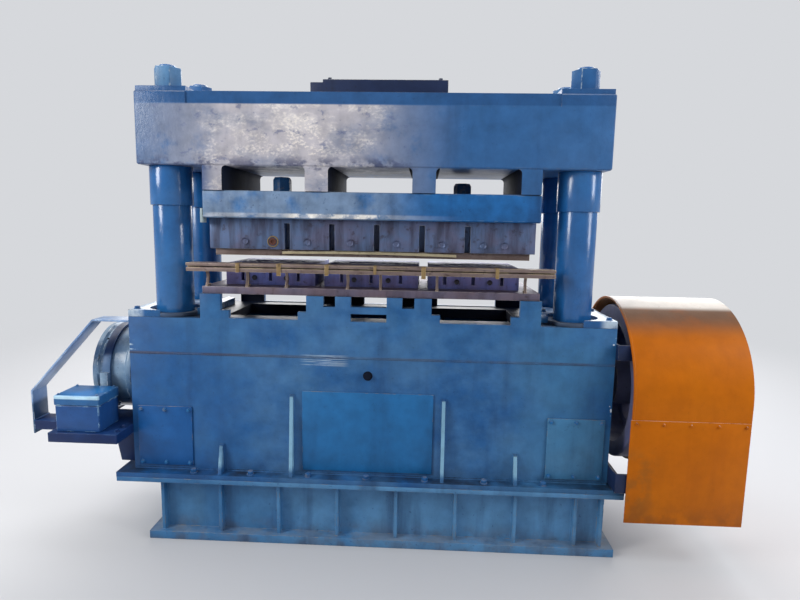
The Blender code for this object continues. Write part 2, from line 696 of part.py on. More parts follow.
def lower_tooling():
    """Bolster with scrap openings, three die blocks and their stock grooves."""
    half_x, half_y = BOLSTER_SIZE[0] / 2, BOLSTER_SIZE[1] / 2
    made = block("bolster_plate", (-half_x, -half_y, BOLSTER_Z[0]), (half_x, half_y, BOLSTER_Z[1]),
                 metal("bolster_steel", DIE_BROWN, 0.6))
    openings = [((x - CHUTE_NARROW / 2, -DIE_DEPTH / 4, BOLSTER_Z[0] - 0.01),
                 (x + CHUTE_NARROW / 2, DIE_DEPTH / 4, BOLSTER_Z[1] + 0.01))
                for x in (-CHUTE_X, 0.0, CHUTE_X)]
    cut(made, add("scrap_openings", blocks_mesh("scrap_openings", openings)))
    dies = (("left_die", -SIDE_DIE_X, SIDE_DIE_WIDTH), ("center_die", 0.0, MIDDLE_DIE_WIDTH),
            ("right_die", SIDE_DIE_X, SIDE_DIE_WIDTH))
    low = BOLSTER_Z[1] + SEAT
    wide, deep = DIE_GROOVE
    for name, x, width in dies:
        die = block(name, (x - width / 2, -DIE_DEPTH / 2, low), (x + width / 2, DIE_DEPTH / 2, DIE_TOP_Z),
                    metal(name + "_steel", DIE_BROWN, 0.5))
        grooves = []
        for k in (-1, 0, 1):
            groove_x = x + k * width / 3.2
            grooves.append(((groove_x - wide / 2, -DIE_DEPTH, low + 0.02),
                            (groove_x + wide / 2, -DIE_DEPTH / 2 + deep, DIE_TOP_Z + 0.01)))
        grooves.append(((x - width * 0.3, -0.03, DIE_TOP_Z - 0.012),
                        (x + width * 0.3, 0.03, DIE_TOP_Z + 0.01)))
        cut(die, add(name + "_grooves", blocks_mesh(name + "_grooves", grooves)))


def rail_leg_outline():
    """A thin bent leg seen from the side, curving back under the rail."""
    foot = BOLSTER_Z[1] + SEAT
    head = RAIL_Z + RAIL_THICK / 2
    front = -BOLSTER_SIZE[1] / 2
    rise = head - foot
    outer = [(front + 0.018 * math.sin(math.pi * k / 6), foot + rise * k / 6) for k in range(7)]
    inner = [(y + RAIL_LEG_THIN, z) for y, z in reversed(outer)]
    toe = [(front + 0.045, foot), (front + 0.045, foot + 0.010), (front + 0.020, foot + 0.010)]
    return outer + inner[:-1] + toe[::-1]


def feed_rail():
    """Long stock rail in front of the dies, on seven thin bent legs."""
    half = RAIL_LENGTH / 2
    made = block("feed_rail", (-half, RAIL_Y[0], RAIL_Z), (half, RAIL_Y[1], RAIL_Z + RAIL_THICK),
                 metal("rail_steel", RAIL_BROWN, 0.55))
    for spot in RAIL_LEG_SPOTS:
        weld(made, outline("rail_leg", [rail_leg_outline()], RAIL_LEG,
                           facing_side(spot * BOLSTER_SIZE[0] / 2, 0, 0)))
    low = RAIL_Z + RAIL_THICK + SEAT
    cap = block("rail_cap", (-half, RAIL_Y[0], low), (half, RAIL_Y[1], low + RAIL_CAP + RAIL_CAP_GAP),
                metal("rail_cap_steel", RAIL_BROWN, 0.5))
    cut(cap, block("rail_groove", (-half - 0.01, RAIL_Y[0] - 0.01, low - 0.01),
                   (half + 0.01, RAIL_Y[0] + 0.02, low + RAIL_CAP_GAP)))


def crosshead():
    """The upper crosshead: a deep slab on four short legs with windows between."""
    half_x, half_y = HEAD_WIDTH / 2, HEAD_DEPTH / 2
    made = block("crosshead", (-half_x, -half_y, HEAD_Z[0]), (half_x, half_y, HEAD_Z[1]),
                 painted("crosshead_blue"))
    soften(made, HEAD_BEVEL)
    weld(made, block("head_legs", (-LEG_WIDTH / 2, -half_y + HEAD_BEVEL, BEAM_TOP_Z),
                     (LEG_WIDTH / 2, half_y - HEAD_BEVEL, HEAD_Z[0] + 0.02)))
    pads = [((min(a, b), -half_y + 0.01, HEAD_Z[1] - 0.01), (max(a, b), half_y - 0.01, HEAD_PAD_TOP))
            for a, b in ((half_x - 0.005, half_x - HEAD_PAD_WIDTH),
                         (-half_x + 0.005, -half_x + HEAD_PAD_WIDTH))]
    weld(made, add("head_pads", blocks_mesh("head_pads", pads)))
    rebate, fall = HEAD_REBATE
    reach = half_x - HEAD_PAD_WIDTH
    strips = [((-reach, min(a, b), HEAD_Z[1] - fall), (reach, max(a, b), HEAD_Z[1] + 0.01))
              for a, b in ((-half_y - 0.01, -half_y + rebate), (half_y + 0.01, half_y - rebate))]
    cut(made, add("head_rebates", blocks_mesh("head_rebates", strips)))
    tall = HEAD_Z[0] - BEAM_TOP_Z
    c = WINDOW_CORNER
    corners = (arc(c, 0, 90, 3, (WINDOW_WIDTH / 2 - c, tall - c))
               + arc(c, 90, 180, 3, (-WINDOW_WIDTH / 2 + c, tall - c)))
    loop = corners + [(-WINDOW_WIDTH / 2, -0.02), (WINDOW_WIDTH / 2, -0.02)]
    for x in (-WINDOW_PITCH, 0.0, WINDOW_PITCH):
        cut(made, outline("head_window", [loop], HEAD_DEPTH * 1.2, facing_front(x, 0, BEAM_TOP_Z)))
    for x, y in column_places():
        cut(made, round_bar("stud_bore", COLUMN_STUD_R + SEAT, 1.0, at(x, y, HEAD_Z[1]), sides=ROUND))
    return made


def crown_plate():
    """A low dark cover plate on top of the crosshead, stepped at its left end."""
    wide, deep, tall = CROWN_SIZE
    step_x, step_z = CROWN_STEP
    low = HEAD_Z[1] + SEAT
    loop = [(-wide / 2, 0), (wide / 2, 0), (wide / 2, tall), (-wide / 2 + step_x, tall),
            (-wide / 2 + step_x, tall - step_z), (-wide / 2, tall - step_z)]
    outline("crown_plate", [loop], deep, facing_front(*CROWN_PLACE, low),
            painted("crown_blue", DARK_BLUE))


def lower_beam():
    """The beam bolted under the crosshead's legs, which carries the upper die."""
    half_x, half_y = BEAM_WIDTH / 2, BEAM_DEPTH / 2
    made = block("lower_beam", (-half_x, -half_y, BEAM_Z[0]), (half_x, half_y, BEAM_Z[1]),
                 painted("beam_blue"))
    soften(made, HEAD_BEVEL)
    return made


def columns():
    """Four tie columns, their collars under the crosshead and the nuts on top."""
    stud_top = HEAD_PAD_TOP + SEAT + NUT_HEIGHT + STUD_ABOVE_NUT
    shoulder = HEAD_Z[0] - SEAT
    neck = SHOULDER_Z - BUSH_LENGTH - 0.05
    yoke_top = YOKE_Z[1] + SEAT
    profile = [(0, stud_top), (COLUMN_STUD_R - 0.004, stud_top), (COLUMN_STUD_R, stud_top - 0.004),
               (COLUMN_STUD_R, shoulder), (COLUMN_R, shoulder), (COLUMN_R, neck),
               (COLUMN_SHANK_R, neck - 0.03), (COLUMN_SHANK_R, yoke_top),
               (COLUMN_FOOT_R, yoke_top), (COLUMN_FOOT_R, YOKE_Z[0]), (0, YOKE_Z[0])]
    column = apply_modifiers(turned("column_1", profile, at(0, 0, 0),
                                    metal("column_steel", COLUMN_BLUE, 0.25)))
    ring = ring_profile(COLUMN_R + SEAT, COLLAR_R, shoulder - COLLAR_LENGTH, shoulder)
    collar = apply_modifiers(turned("collar_1", ring, at(0, 0, 0), painted("collar_blue", COLUMN_BLUE),
                                    closed=True))
    nut_z = HEAD_PAD_TOP + SEAT + NUT_HEIGHT / 2
    corner_r = NUT_ACROSS / math.sqrt(3)
    nut = outline("column_nut_1", [circle(corner_r, 6), circle(COLUMN_STUD_R + SEAT)],
                  NUT_HEIGHT, at(0, 0, nut_z), painted("nut_blue"))
    for first, height in ((column, 0), (collar, 0), (nut, nut_z)):
        if first is not nut:
            smooth(first)
        stem = first.name[:-1]
        for number, (x, y) in enumerate(column_places(), start=1):
            piece = first
            if number > 1:
                piece = first.copy()
                piece.name = f"{stem}{number}"
                parts.objects.link(piece)
            piece.location = (x, y, height)


def upper_tooling():
    """Die sections under a common shoe, with a stripper plate below them."""
    half_x, half_y = UPPER_DIE_WIDTH / 2, UPPER_DIE_DEPTH / 2
    made = block("upper_die", (-half_x, -half_y, UPPER_DIE_Z[0]), (half_x, half_y, UPPER_DIE_Z[1]),
                 metal("upper_die_steel", DIE_BROWN, 0.5))
    wide, deep = UPPER_SLOT
    ceiling = UPPER_DIE_Z[1] - UPPER_SHOE
    first = UPPER_SLOT_SHIFT - UPPER_SLOT_PITCH * (UPPER_SLOTS - 1) / 2
    slots = []
    for k in range(UPPER_SLOTS):
        x = first + UPPER_SLOT_PITCH * k
        for near, far in ((-half_y - 0.01, -half_y + deep), (half_y - deep, half_y + 0.01)):
            slots.append(((x - wide / 2, near, UPPER_DIE_Z[0] - 0.01), (x + wide / 2, far, ceiling)))
    cut(made, add("die_slots", blocks_mesh("die_slots", slots)))
    inset = STRIPPER_INSET
    block("stripper_plate", (-half_x + inset, -half_y + inset, STRIPPER_Z[0]),
          (half_x - inset, half_y - inset, STRIPPER_Z[1]), metal("stripper_steel", RAIL_BROWN, 0.5))


def yoke_and_rods():
    """The lower yoke that ties the columns, its wrist pins and the two rods."""
    half_x, half_y = YOKE_SIZE[0] / 2, YOKE_SIZE[1] / 2
    low, high = YOKE_Z
    yoke = block("lower_yoke", (-half_x, -half_y, low), (half_x, half_y, high),
                 painted("yoke_blue", DARK_BLUE))
    holes = [((x - YOKE_SLOT[0] / 2, -YOKE_SLOT[1] / 2, low - 0.01),
              (x + YOKE_SLOT[0] / 2, YOKE_SLOT[1] / 2, high + 0.01)) for x in both_sides(ECCENTRIC_X)]
    holes.append(((-YOKE_WINDOW[0] / 2, -YOKE_WINDOW[1] / 2, low - 0.01),
                  (YOKE_WINDOW[0] / 2, YOKE_WINDOW[1] / 2, high + 0.01)))
    cut(yoke, add("yoke_openings", blocks_mesh("yoke_openings", holes)))
    for x, y in column_places():
        cut(yoke, round_bar("foot_bore", COLUMN_FOOT_R + SEAT, (high - low) * 3, at(x, y, low),
                            sides=ROUND))
    for side, name in ((-1, "left"), (1, "right")):
        x = side * ECCENTRIC_X
        cut(yoke, round_bar("wrist_bore", WRIST_R + SEAT, WRIST_PIN_LENGTH + 2 * SEAT,
                            along_x(x, 0, WRIST_Z), sides=ROUND))
        round_bar(name + "_wrist_pin", WRIST_R, WRIST_PIN_LENGTH, along_x(x, 0, WRIST_Z),
                  metal(name + "_pin_steel"), ROUND)
        rod = round_bar(name + "_connecting_rod", STRAP_R, ECCENTRIC_WIDTH,
                        along_x(x, 0, ECCENTRIC_Z), painted(name + "_rod_iron", IRON), ROUND)
        weld(rod, round_bar(name + "_rod_eye", WRIST_EYE_R, ECCENTRIC_WIDTH, along_x(x, 0, WRIST_Z),
                            sides=ROUND))
        weld(rod, block(name + "_rod_neck", (x - ECCENTRIC_WIDTH / 2, -ROD_NECK / 2, WRIST_Z),
                        (x + ECCENTRIC_WIDTH / 2, ROD_NECK / 2, ECCENTRIC_Z - STRAP_BORE_R)))
        cut(rod, round_bar(name + "_strap_bore", STRAP_BORE_R, 0.2, along_x(x, 0, ECCENTRIC_Z),
                           sides=ROUND))
        cut(rod, round_bar(name + "_eye_bore", WRIST_R + RUNNING, 0.2, along_x(x, 0, WRIST_Z),
                           sides=ROUND))


def crankshaft():
    """One forging: stepped shaft with two eccentric sheaves at bottom centre."""
    inside = BED_HALF - BEARING_LENGTH - 0.02
    profile = [(0, SHAFT_RIGHT), (JOURNAL_R - 0.004, SHAFT_RIGHT), (JOURNAL_R, SHAFT_RIGHT - 0.004),
               (JOURNAL_R, inside), (SHAFT_R, inside), (SHAFT_R, -inside), (JOURNAL_R, -inside),
               (JOURNAL_R, SHAFT_LEFT + 0.004), (JOURNAL_R - 0.004, SHAFT_LEFT), (0, SHAFT_LEFT)]
    made = turned("crankshaft", profile, along_x(0, 0, SHAFT_Z), metal("shaft_steel"))
    for x in both_sides(ECCENTRIC_X):
        weld(made, round_bar("eccentric", ECCENTRIC_R, ECCENTRIC_WIDTH, along_x(x, 0, ECCENTRIC_Z),
                             sides=ROUND))
    return made


def brake():
    """Stepped brake drum on the shaft's left end, with a fixed band over it."""
    left, right = DRUM_X
    bore = JOURNAL_R + SEAT
    middle = (left + right) / 2
    rim_bore = DRUM_R - DRUM_RIM
    lip = DRUM_RIM / 2
    profile = [(bore, right), (DRUM_HUB_R, right), (DRUM_HUB_R, middle + DRUM_WEB / 2),
               (rim_bore, middle + DRUM_WEB / 2), (rim_bore, right), (DRUM_R, right),
               (DRUM_R, right - lip * 2), (DRUM_R - lip, right - lip * 3),
               (DRUM_R - lip, left + lip * 3), (DRUM_R, left + lip * 2), (DRUM_R, left),
               (rim_bore, left), (rim_bore, middle - DRUM_WEB / 2), (DRUM_HUB_R, middle - DRUM_WEB / 2),
               (DRUM_HUB_R, left), (bore, left)]
    turned("brake_drum", profile, along_x(0, 0, SHAFT_Z), painted("drum_blue"), closed=True)
    loop = arc(BAND_R, -50, 230, 32) + arc(BAND_BORE, 230, -50, 32)
    band = outline("brake_band", [loop], BAND_WIDTH, facing_side(middle, 0, SHAFT_Z),
                   painted("band_blue", DARK_BLUE))
    for side in (-1, 1):
        near, far = sorted((side * (BAND_R - BAND_LUG[0]), side * (BAND_R + BAND_LUG[1])))
        weld(band, block("band_lug", (middle - BAND_WIDTH / 2, near, SHELF_Z[1] + SEAT),
                         (middle + BAND_WIDTH / 2, far, SHAFT_Z)))
    return band


def flywheel():
    """Heavy rim on a thin web with lightening holes, on its own bearing."""
    left, right = FLYWHEEL_X
    middle = (left + right) / 2
    bore = JOURNAL_R + RUNNING
    rim_bore = FLYWHEEL_R - FLYWHEEL_RIM
    web = FLYWHEEL_WEB / 2
    hub = right + FLYWHEEL_HUB_OUT
    draft = 0.012
    profile = [(bore, hub), (FLYWHEEL_HUB_R, hub), (FLYWHEEL_HUB_R + draft, middle + web),
               (rim_bore - draft, middle + web), (rim_bore, right), (FLYWHEEL_R - 0.006, right),
               (FLYWHEEL_R, right - 0.006), (FLYWHEEL_R, left + 0.006), (FLYWHEEL_R - 0.006, left),
               (rim_bore, left), (rim_bore - draft, middle - web), (FLYWHEEL_HUB_R + draft, middle - web),
               (FLYWHEEL_HUB_R, left), (bore, left)]
    made = turned("flywheel", profile, along_x(0, 0, SHAFT_Z), painted("flywheel_blue", DARK_BLUE),
                  sides=WHEEL_ROUND, closed=True)
    ring_r = (rim_bore + FLYWHEEL_HUB_R) / 2
    for k in range(FLYWHEEL_HOLES):
        turn = 2 * math.pi * k / FLYWHEEL_HOLES
        cut(made, round_bar("lightening_hole", FLYWHEEL_HOLE_R, FLYWHEEL_WEB * 3,
                            along_x(middle, ring_r * math.cos(turn), SHAFT_Z + ring_r * math.sin(turn))))
    return made


def guard_outline(radius, foot_z, rear_angle):
    """Half round over the wheel, straight down at the front, open at the rear."""
    curve = arc(radius, rear_angle, 180, 28)
    return curve + [(-radius, foot_z - SHAFT_Z)]


def flywheel_guard():
    """Rolled sheet over the flywheel, closed by a plate on the outer side."""
    left, right = GUARD_X
    outer = guard_outline(GUARD_R, GUARD_FOOT_Z, GUARD_REAR_ANGLE)
    inner_r = GUARD_R - GUARD_SKIN
    inner = guard_outline(inner_r, GUARD_FOOT_Z, GUARD_REAR_ANGLE)
    skin = outer + inner[::-1]
    made = outline("flywheel_guard", [skin], right - left, facing_side((left + right) / 2, 0, SHAFT_Z),
                   painted("guard_orange", ORANGE))
    grip = GUARD_SKIN / 2
    side = arc(GUARD_R - grip, GUARD_REAR_ANGLE, 180, 28)
    side += [(-GUARD_R + grip, GUARD_FOOT_Z - SHAFT_Z), (GUARD_R * 0.42, GUARD_FOOT_Z - SHAFT_Z),
             (GUARD_R * math.cos(math.radians(GUARD_REAR_ANGLE)) - grip, -0.02)]
    plate = outline("guard_side", [side, circle(GUARD_HATCH_R)], GUARD_SKIN,
                    facing_side(right - GUARD_SKIN / 2, 0, SHAFT_Z))
    return weld(made, plate)


def guard_stays():
    """Angle brackets that hold the guard off the base's end wall."""
    wall = BED_HALF + SEAT
    reach = FLYWHEEL_X[0] - STAY_THICK
    inner_r = GUARD_R - GUARD_SKIN - SEAT
    for name, z, height in (("upper_guard_stay", 0.985, 0.07), ("lower_guard_stay", 0.40, 0.09)):
        drop = z - SHAFT_Z
        if drop > 0:
            y = -math.sqrt(inner_r ** 2 - (drop + height / 2) ** 2)
        else:
            y = -inner_r
        made = block(name, (wall, y, z - height / 2), (reach, y + STAY_THICK, z + height / 2),
                     painted(name + "_blue"))
        foot = min(y + 0.11, FACE_Y + 0.09)
        weld(made, block(name + "_foot", (wall, y, z - height / 2),
                         (wall + STAY_THICK, max(foot, FACE_Y + 0.06), z + height / 2)))


def side_shelf():
    """Shelf on two gussets, slotted for the drum, with a tongue that carries the hood."""
    left, right = SHELF_X
    near, far = SHELF_Y
    low, high = SHELF_Z
    end = HOOD_LEFT_X + HOOD_SKIN + SEAT
    front, back = HOOD_Y
    edge = [(left, near), (right, near), (right, far), (left, far), (left, back), (end, back),
            (end, front), (left, front)]
    made = outline("brake_shelf", [edge], high - low, at(0, 0, (low + high) / 2), painted("shelf_blue"))
    out, down = SHELF_GUSSET
    gusset = [(right, low + 0.01), (right, low - down), (right - SHELF_GUSSET_TOE, low - down),
              (right - out, low + 0.01)]
    for y in SHELF_GUSSET_Y:
        weld(made, outline("shelf_gusset", [gusset], RIB, facing_front(0, y, 0)))
    chord = math.sqrt((DRUM_R + 0.01) ** 2 - (SHAFT_Z - high) ** 2)
    cut(made, block("drum_slot", (DRUM_X[0] - 0.01, -chord, low - 0.2),
                    (DRUM_X[1] + 0.01, chord, high + 0.1)))
    return made


def hood_outline(inset, foot_z, right=SHELF_X[1]):
    """The brake hood from the front, moved in by its thickness."""
    left = HOOD_LEFT_X + inset
    slope = math.atan2(HOOD_TOP_Z - HOOD_EAVES_Z, HOOD_APEX_X - HOOD_LEFT_X)
    top = HOOD_TOP_Z - inset
    eaves = HOOD_EAVES_Z - inset * math.tan((math.pi / 2 - slope) / 2)
    apex = HOOD_APEX_X + inset * math.tan(slope / 2)
    return [(right, foot_z), (right, top), (apex, top), (left, eaves), (left, foot_z)]


def brake_hood():
    """Bent flat strip: up from the shelf's tongue, over the drum and level to the bed."""
    near, far = HOOD_Y
    outer = hood_outline(0, HOOD_FOOT_Z)
    inner = hood_outline(HOOD_SKIN, HOOD_FOOT_Z)
    strip = outer[1:] + inner[:0:-1]
    return outline("brake_hood", [strip], far - near, facing_front(0, (near + far) / 2, 0),
                   painted("hood_blue"))


def control_box():
    """Small steel box on the shelf with an overhanging screwed lid."""
    made = block("control_box", (BOX_X[0], BOX_Y[0], SHELF_Z[1] + SEAT), (BOX_X[1], BOX_Y[1], BOX_TOP_Z),
                 painted("box_blue"))
    soften(made, 0.003)
    rim = LID_OVERHANG
    lid = block("control_box_lid", (BOX_X[0] - rim, BOX_Y[0] - rim, BOX_TOP_Z + SEAT),
                (BOX_X[1] + rim, BOX_Y[1] + rim, LID_TOP_Z), painted("lid_blue"))
    soften(lid, 0.004)


def motor_shelf():
    """Bracket on the base's rear wall that carries the drive motor."""
    left, right = MOTOR_SHELF_X
    wall = -FACE_Y + SEAT
    top = MOTOR_SHELF_Z + MOTOR_PLATE
    made = block("motor_shelf", (left, wall, MOTOR_SHELF_Z), (right, MOTOR_SHELF_END_Y, top),
                 painted("motor_shelf_blue"))
    weld(made, block("motor_shelf_back", (left, wall, FLANGE_TOP_Z + 0.02),
                     (right, wall + MOTOR_PLATE, top + 0.10)))
    foot = FLANGE_TOP_Z + 0.03
    gusset = [(wall + 0.005, MOTOR_SHELF_Z + 0.005), (wall + 0.005, foot), (wall + 0.05, foot),
              (MOTOR_SHELF_END_Y - 0.03, MOTOR_SHELF_Z - 0.02),
              (MOTOR_SHELF_END_Y - 0.03, MOTOR_SHELF_Z + 0.005)]
    for x in (left + RIB, right - RIB):
        weld(made, outline("shelf_gusset", [gusset], RIB, facing_side(x, 0, 0)))
    return made


def motor():
    """Foot-mounted motor: finned body, fan cowl, terminal box."""
    left, right = MOTOR_X
    low = MOTOR_SHELF_Z + MOTOR_PLATE + SEAT
    middle = (left + right) / 2
    step = 2 * math.pi / MOTOR_FINS
    loop = []
    for k in range(MOTOR_FINS):
        for share, radius in ((-0.22, MOTOR_R + MOTOR_FIN), (0.22, MOTOR_R + MOTOR_FIN),
                              (0.32, MOTOR_R), (0.68, MOTOR_R)):
            turn = step * (k + share)
            loop.append((radius * math.cos(turn), radius * math.sin(turn)))
    made = outline("motor", [loop], right - left - 2 * MOTOR_BELL, facing_side(middle, MOTOR_Y, MOTOR_Z),
                   painted("motor_blue", DARK_BLUE))
    weld(made, round_bar("motor_bells", MOTOR_R - 0.004, right - left, along_x(middle, MOTOR_Y, MOTOR_Z),
                         sides=ROUND))
    long, wide = MOTOR_FOOT
    feet = [((middle - long / 2, MOTOR_Y + y - wide / 2, low),
             (middle + long / 2, MOTOR_Y + y + wide / 2, MOTOR_Z - MOTOR_R / 2))
            for y in both_sides(MOTOR_FOOT_Y)]
    weld(made, add("motor_feet", blocks_mesh("motor_feet", feet)))
    cut(made, round_bar("rotor_bore", PULLEY_SHAFT_R + RUNNING, MOTOR_BELL * 1.7,
                        along_x(right, MOTOR_Y, MOTOR_Z)))
    shell = MOTOR_R + MOTOR_FIN
    cowl_left = left - COWL_LENGTH
    cowl = [(0, cowl_left), (shell - COWL_ROUND[0], cowl_left), (shell, cowl_left + COWL_ROUND[1]),
            (shell, left - SEAT), (0, left - SEAT)]
    turned("fan_cowl", cowl[::-1], along_x(0, MOTOR_Y, MOTOR_Z), painted("cowl_blue", DARK_BLUE))
    wide, deep, tall = TERMINAL_BOX
    lift = MOTOR_Z + (MOTOR_R + MOTOR_FIN) * math.cos(step * 0.22) + SEAT
    box = block("terminal_box", (middle - wide / 2, MOTOR_Y - deep / 2, lift),
                (middle + wide / 2, MOTOR_Y + deep / 2, lift + tall), painted("terminal_blue", DARK_BLUE))
    soften(box, 0.006)


def motor_pulley():
    """Flat-faced drive pulley with its shaft stub."""
    left, right = PULLEY_X
    stub = MOTOR_X[1] - MOTOR_BELL * 0.7
    lip = 0.006
    profile = [(0, right + 0.01), (PULLEY_SHAFT_R, right + 0.01), (PULLEY_SHAFT_R + 0.02, right),
               (PULLEY_R + lip, right), (PULLEY_R + lip, BELT_X[1] + 0.004), (PULLEY_R, BELT_X[1] + 0.002),
               (PULLEY_R, BELT_X[0] - 0.002), (PULLEY_R + lip, BELT_X[0] - 0.004), (PULLEY_R + lip, left),
               (PULLEY_SHAFT_R + 0.02, left), (PULLEY_SHAFT_R, left - 0.01), (PULLEY_SHAFT_R, stub),
               (0, stub)]
    turned("motor_pulley", profile, along_x(0, MOTOR_Y, MOTOR_Z), metal("pulley_iron", IRON, 0.4),
           sides=SMALL_ROUND)


def belt_loop(grow):
    """Taut loop round the flywheel and the pulley, both radii grown alike."""
    dy, dz = MOTOR_Y, MOTOR_Z - SHAFT_Z
    aim = math.degrees(math.atan2(dz, dy))
    lean = math.degrees(math.acos((FLYWHEEL_R - PULLEY_R) / math.hypot(dy, dz)))
    round_wheel = arc(FLYWHEEL_R + grow, aim + lean, aim + 360 - lean, 40)
    round_pulley = arc(PULLEY_R + grow, aim - lean, aim + lean, 12, (dy, dz))
    return round_wheel + round_pulley


def drive_belt():
    """Joined V-belts from the motor to the flywheel's rim."""
    left, right = BELT_X
    inner = belt_loop(SEAT * 3)
    outer = belt_loop(SEAT * 3 + BELT_THICK)
    outline("drive_belt", [outer, inner], right - left, facing_side((left + right) / 2, 0, SHAFT_Z),
            finish("belt_rubber", RUBBER, 0.7))


def guide_strip():
    """Pale bowed strip along the stripper's front edge."""
    y = -UPPER_DIE_DEPTH / 2 + STRIPPER_INSET - SEAT
    z = (STRIPPER_Z[0] + STRIPPER_Z[1]) / 2
    thick, tall = STRIP_SIZE
    left = -UPPER_DIE_WIDTH / 2 + STRIP_ENDS[0]
    right = UPPER_DIE_WIDTH / 2 - STRIP_ENDS[1]
    steps = 8
    spine = [(left + (right - left) * k / steps, z + STRIP_BOW * math.sin(math.pi * k / steps))
             for k in range(steps + 1)]
    upper = [(x, height + tall / 2) for x, height in spine]
    under = [(x, height - tall / 2) for x, height in reversed(spine)]
    outline("guide_strip", [upper + under], thick, facing_front(0, y - thick / 2, 0),
            painted("strip_beige", (0.55, 0.50, 0.38)))


plinth()
base_frame()
front_covers()
guide_bushes()
bed_pads()
main_bearings()
lower_tooling()
feed_rail()
crosshead()
crown_plate()
lower_beam()
columns()
upper_tooling()
yoke_and_rods()
crankshaft()
brake()
flywheel()
flywheel_guard()
guard_stays()
side_shelf()
brake_hood()
control_box()
motor_shelf()
motor()
motor_pulley()
drive_belt()
guide_strip()
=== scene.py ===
# %% [markdown]
# # A four-column press, from plain solids to worn paint
# The machine stands on a ribbed plinth. An eccentric shaft in its base pulls a heavy upper
# crosshead down on four columns. The solids are loaded first, because every piece that
# follows takes its place from them.

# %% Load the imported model
import json
import math

import bmesh
import bpy
from mathutils import Euler, Matrix, Vector


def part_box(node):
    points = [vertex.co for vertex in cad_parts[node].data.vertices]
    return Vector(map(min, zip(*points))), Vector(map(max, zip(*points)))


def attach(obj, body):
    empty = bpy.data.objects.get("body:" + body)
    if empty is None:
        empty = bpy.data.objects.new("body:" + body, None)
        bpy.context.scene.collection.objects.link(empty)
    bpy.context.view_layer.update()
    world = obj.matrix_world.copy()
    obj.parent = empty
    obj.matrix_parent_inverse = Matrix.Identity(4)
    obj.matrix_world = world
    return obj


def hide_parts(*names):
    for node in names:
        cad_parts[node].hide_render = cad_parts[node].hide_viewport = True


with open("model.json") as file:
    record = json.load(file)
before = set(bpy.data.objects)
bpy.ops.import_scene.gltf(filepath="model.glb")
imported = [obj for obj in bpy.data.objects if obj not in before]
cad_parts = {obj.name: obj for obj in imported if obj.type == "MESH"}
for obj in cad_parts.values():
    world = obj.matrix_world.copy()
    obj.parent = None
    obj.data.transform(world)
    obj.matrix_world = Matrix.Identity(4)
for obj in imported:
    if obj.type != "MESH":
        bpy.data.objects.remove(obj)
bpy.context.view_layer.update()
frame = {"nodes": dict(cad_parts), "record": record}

# %% [markdown]
# ## The camera
# The camera stands in front of the press at eye height, a little right of its middle, and
# looks slightly down. Its lens and angles were fitted to the edges of the machine in the
# photograph, so they are written as plain numbers.

# %% Camera
EYE = Vector((0.2553, -2.8742, 1.55))
LOOK = Euler((math.radians(82.213), math.radians(-1.031), math.radians(2.612)), "XYZ")

lens = bpy.data.cameras.new("photo_camera")
lens.sensor_width = 36.0
lens.lens = 25.42
camera = bpy.data.objects.new("photo_camera", lens)
bpy.context.scene.collection.objects.link(camera)
camera.matrix_world = Matrix.Translation(EYE) @ LOOK.to_matrix().to_4x4()
bpy.context.scene.camera = camera
print("camera at", tuple(EYE))

# %% [markdown]
# ## Floor, world and lamps
# A workshop hall lights a machine from tall windows. Large soft area lamps give the same
# long white streaks on round columns, and a high lamp behind gives the glare on level
# tops. The world fills the shadows at a plain level, so that a paint renders about as
# bright as it is written. Far from the machine the floor fades into the backdrop's own
# colour, which only camera, glossy and see-through rays meet.

# %% Helpers for colour and for shader nodes
def shade(red, green, blue):
    """A colour given as it looks on a screen, 0 to 255, for a shader socket."""
    def linear(value):
        value /= 255
        return value / 12.92 if value <= 0.04045 else ((value + 0.055) / 1.055) ** 2.4
    return (linear(red), linear(green), linear(blue), 1.0)


def connect(tree, node, sockets):
    """Fills a node's sockets: another node's output is linked, a plain value is stored."""
    for name, value in sockets.items():
        if isinstance(value, bpy.types.NodeSocket):
            tree.links.new(value, node.inputs[name])
        else:
            node.inputs[name].default_value = value


def add_node(tree, kind, sockets=None, out=0, **settings):
    """Adds a shader node with its settings and sockets, and gives one of its outputs."""
    made = tree.nodes.new("ShaderNode" + kind)
    for setting, value in settings.items():
        setattr(made, setting, value)
    connect(tree, made, sockets or {})
    return made.outputs[out]


def new_material(name):
    """An empty material, its node tree and its shader."""
    material = bpy.data.materials.new(name)
    material.use_nodes = True
    return material, material.node_tree, material.node_tree.nodes["Principled BSDF"]


# %% Floor and world
FLOOR_SIZE = 60.0
FADE_FROM, FADE_TO = 2.6, 7.5
BACKDROP = shade(214, 216, 220)

floor_mesh = bpy.data.meshes.new("floor")
bm = bmesh.new()
bmesh.ops.create_grid(bm, x_segments=1, y_segments=1, size=FLOOR_SIZE / 2)
bm.to_mesh(floor_mesh)
bm.free()
floor = bpy.data.objects.new("floor", floor_mesh)
bpy.context.scene.collection.objects.link(floor)

concrete, tree, shader = new_material("pale_floor")
connect(tree, shader, {"Base Color": shade(196, 196, 198), "Roughness": 0.75})
reach = add_node(tree, "VectorMath", {0: add_node(tree, "TexCoord", out="Object")}, "Value",
                 operation="LENGTH")
far_off = add_node(tree, "MapRange", {"Value": reach, "From Min": FADE_FROM,
                                      "From Max": FADE_TO}, interpolation_type="SMOOTHSTEP")
backdrop_ray = 0.0
for ray in ("Is Camera Ray", "Is Transmission Ray", "Is Glossy Ray"):
    backdrop_ray = add_node(tree, "Math", {0: add_node(tree, "LightPath", out=ray),
                                           1: backdrop_ray}, operation="MAXIMUM")
faded_out = add_node(tree, "Math", {0: far_off, 1: backdrop_ray}, operation="MULTIPLY")
glow = add_node(tree, "Emission", {"Color": BACKDROP, "Strength": 1.0})
blend = add_node(tree, "MixShader", {0: faded_out, 1: shader.outputs[0], 2: glow})
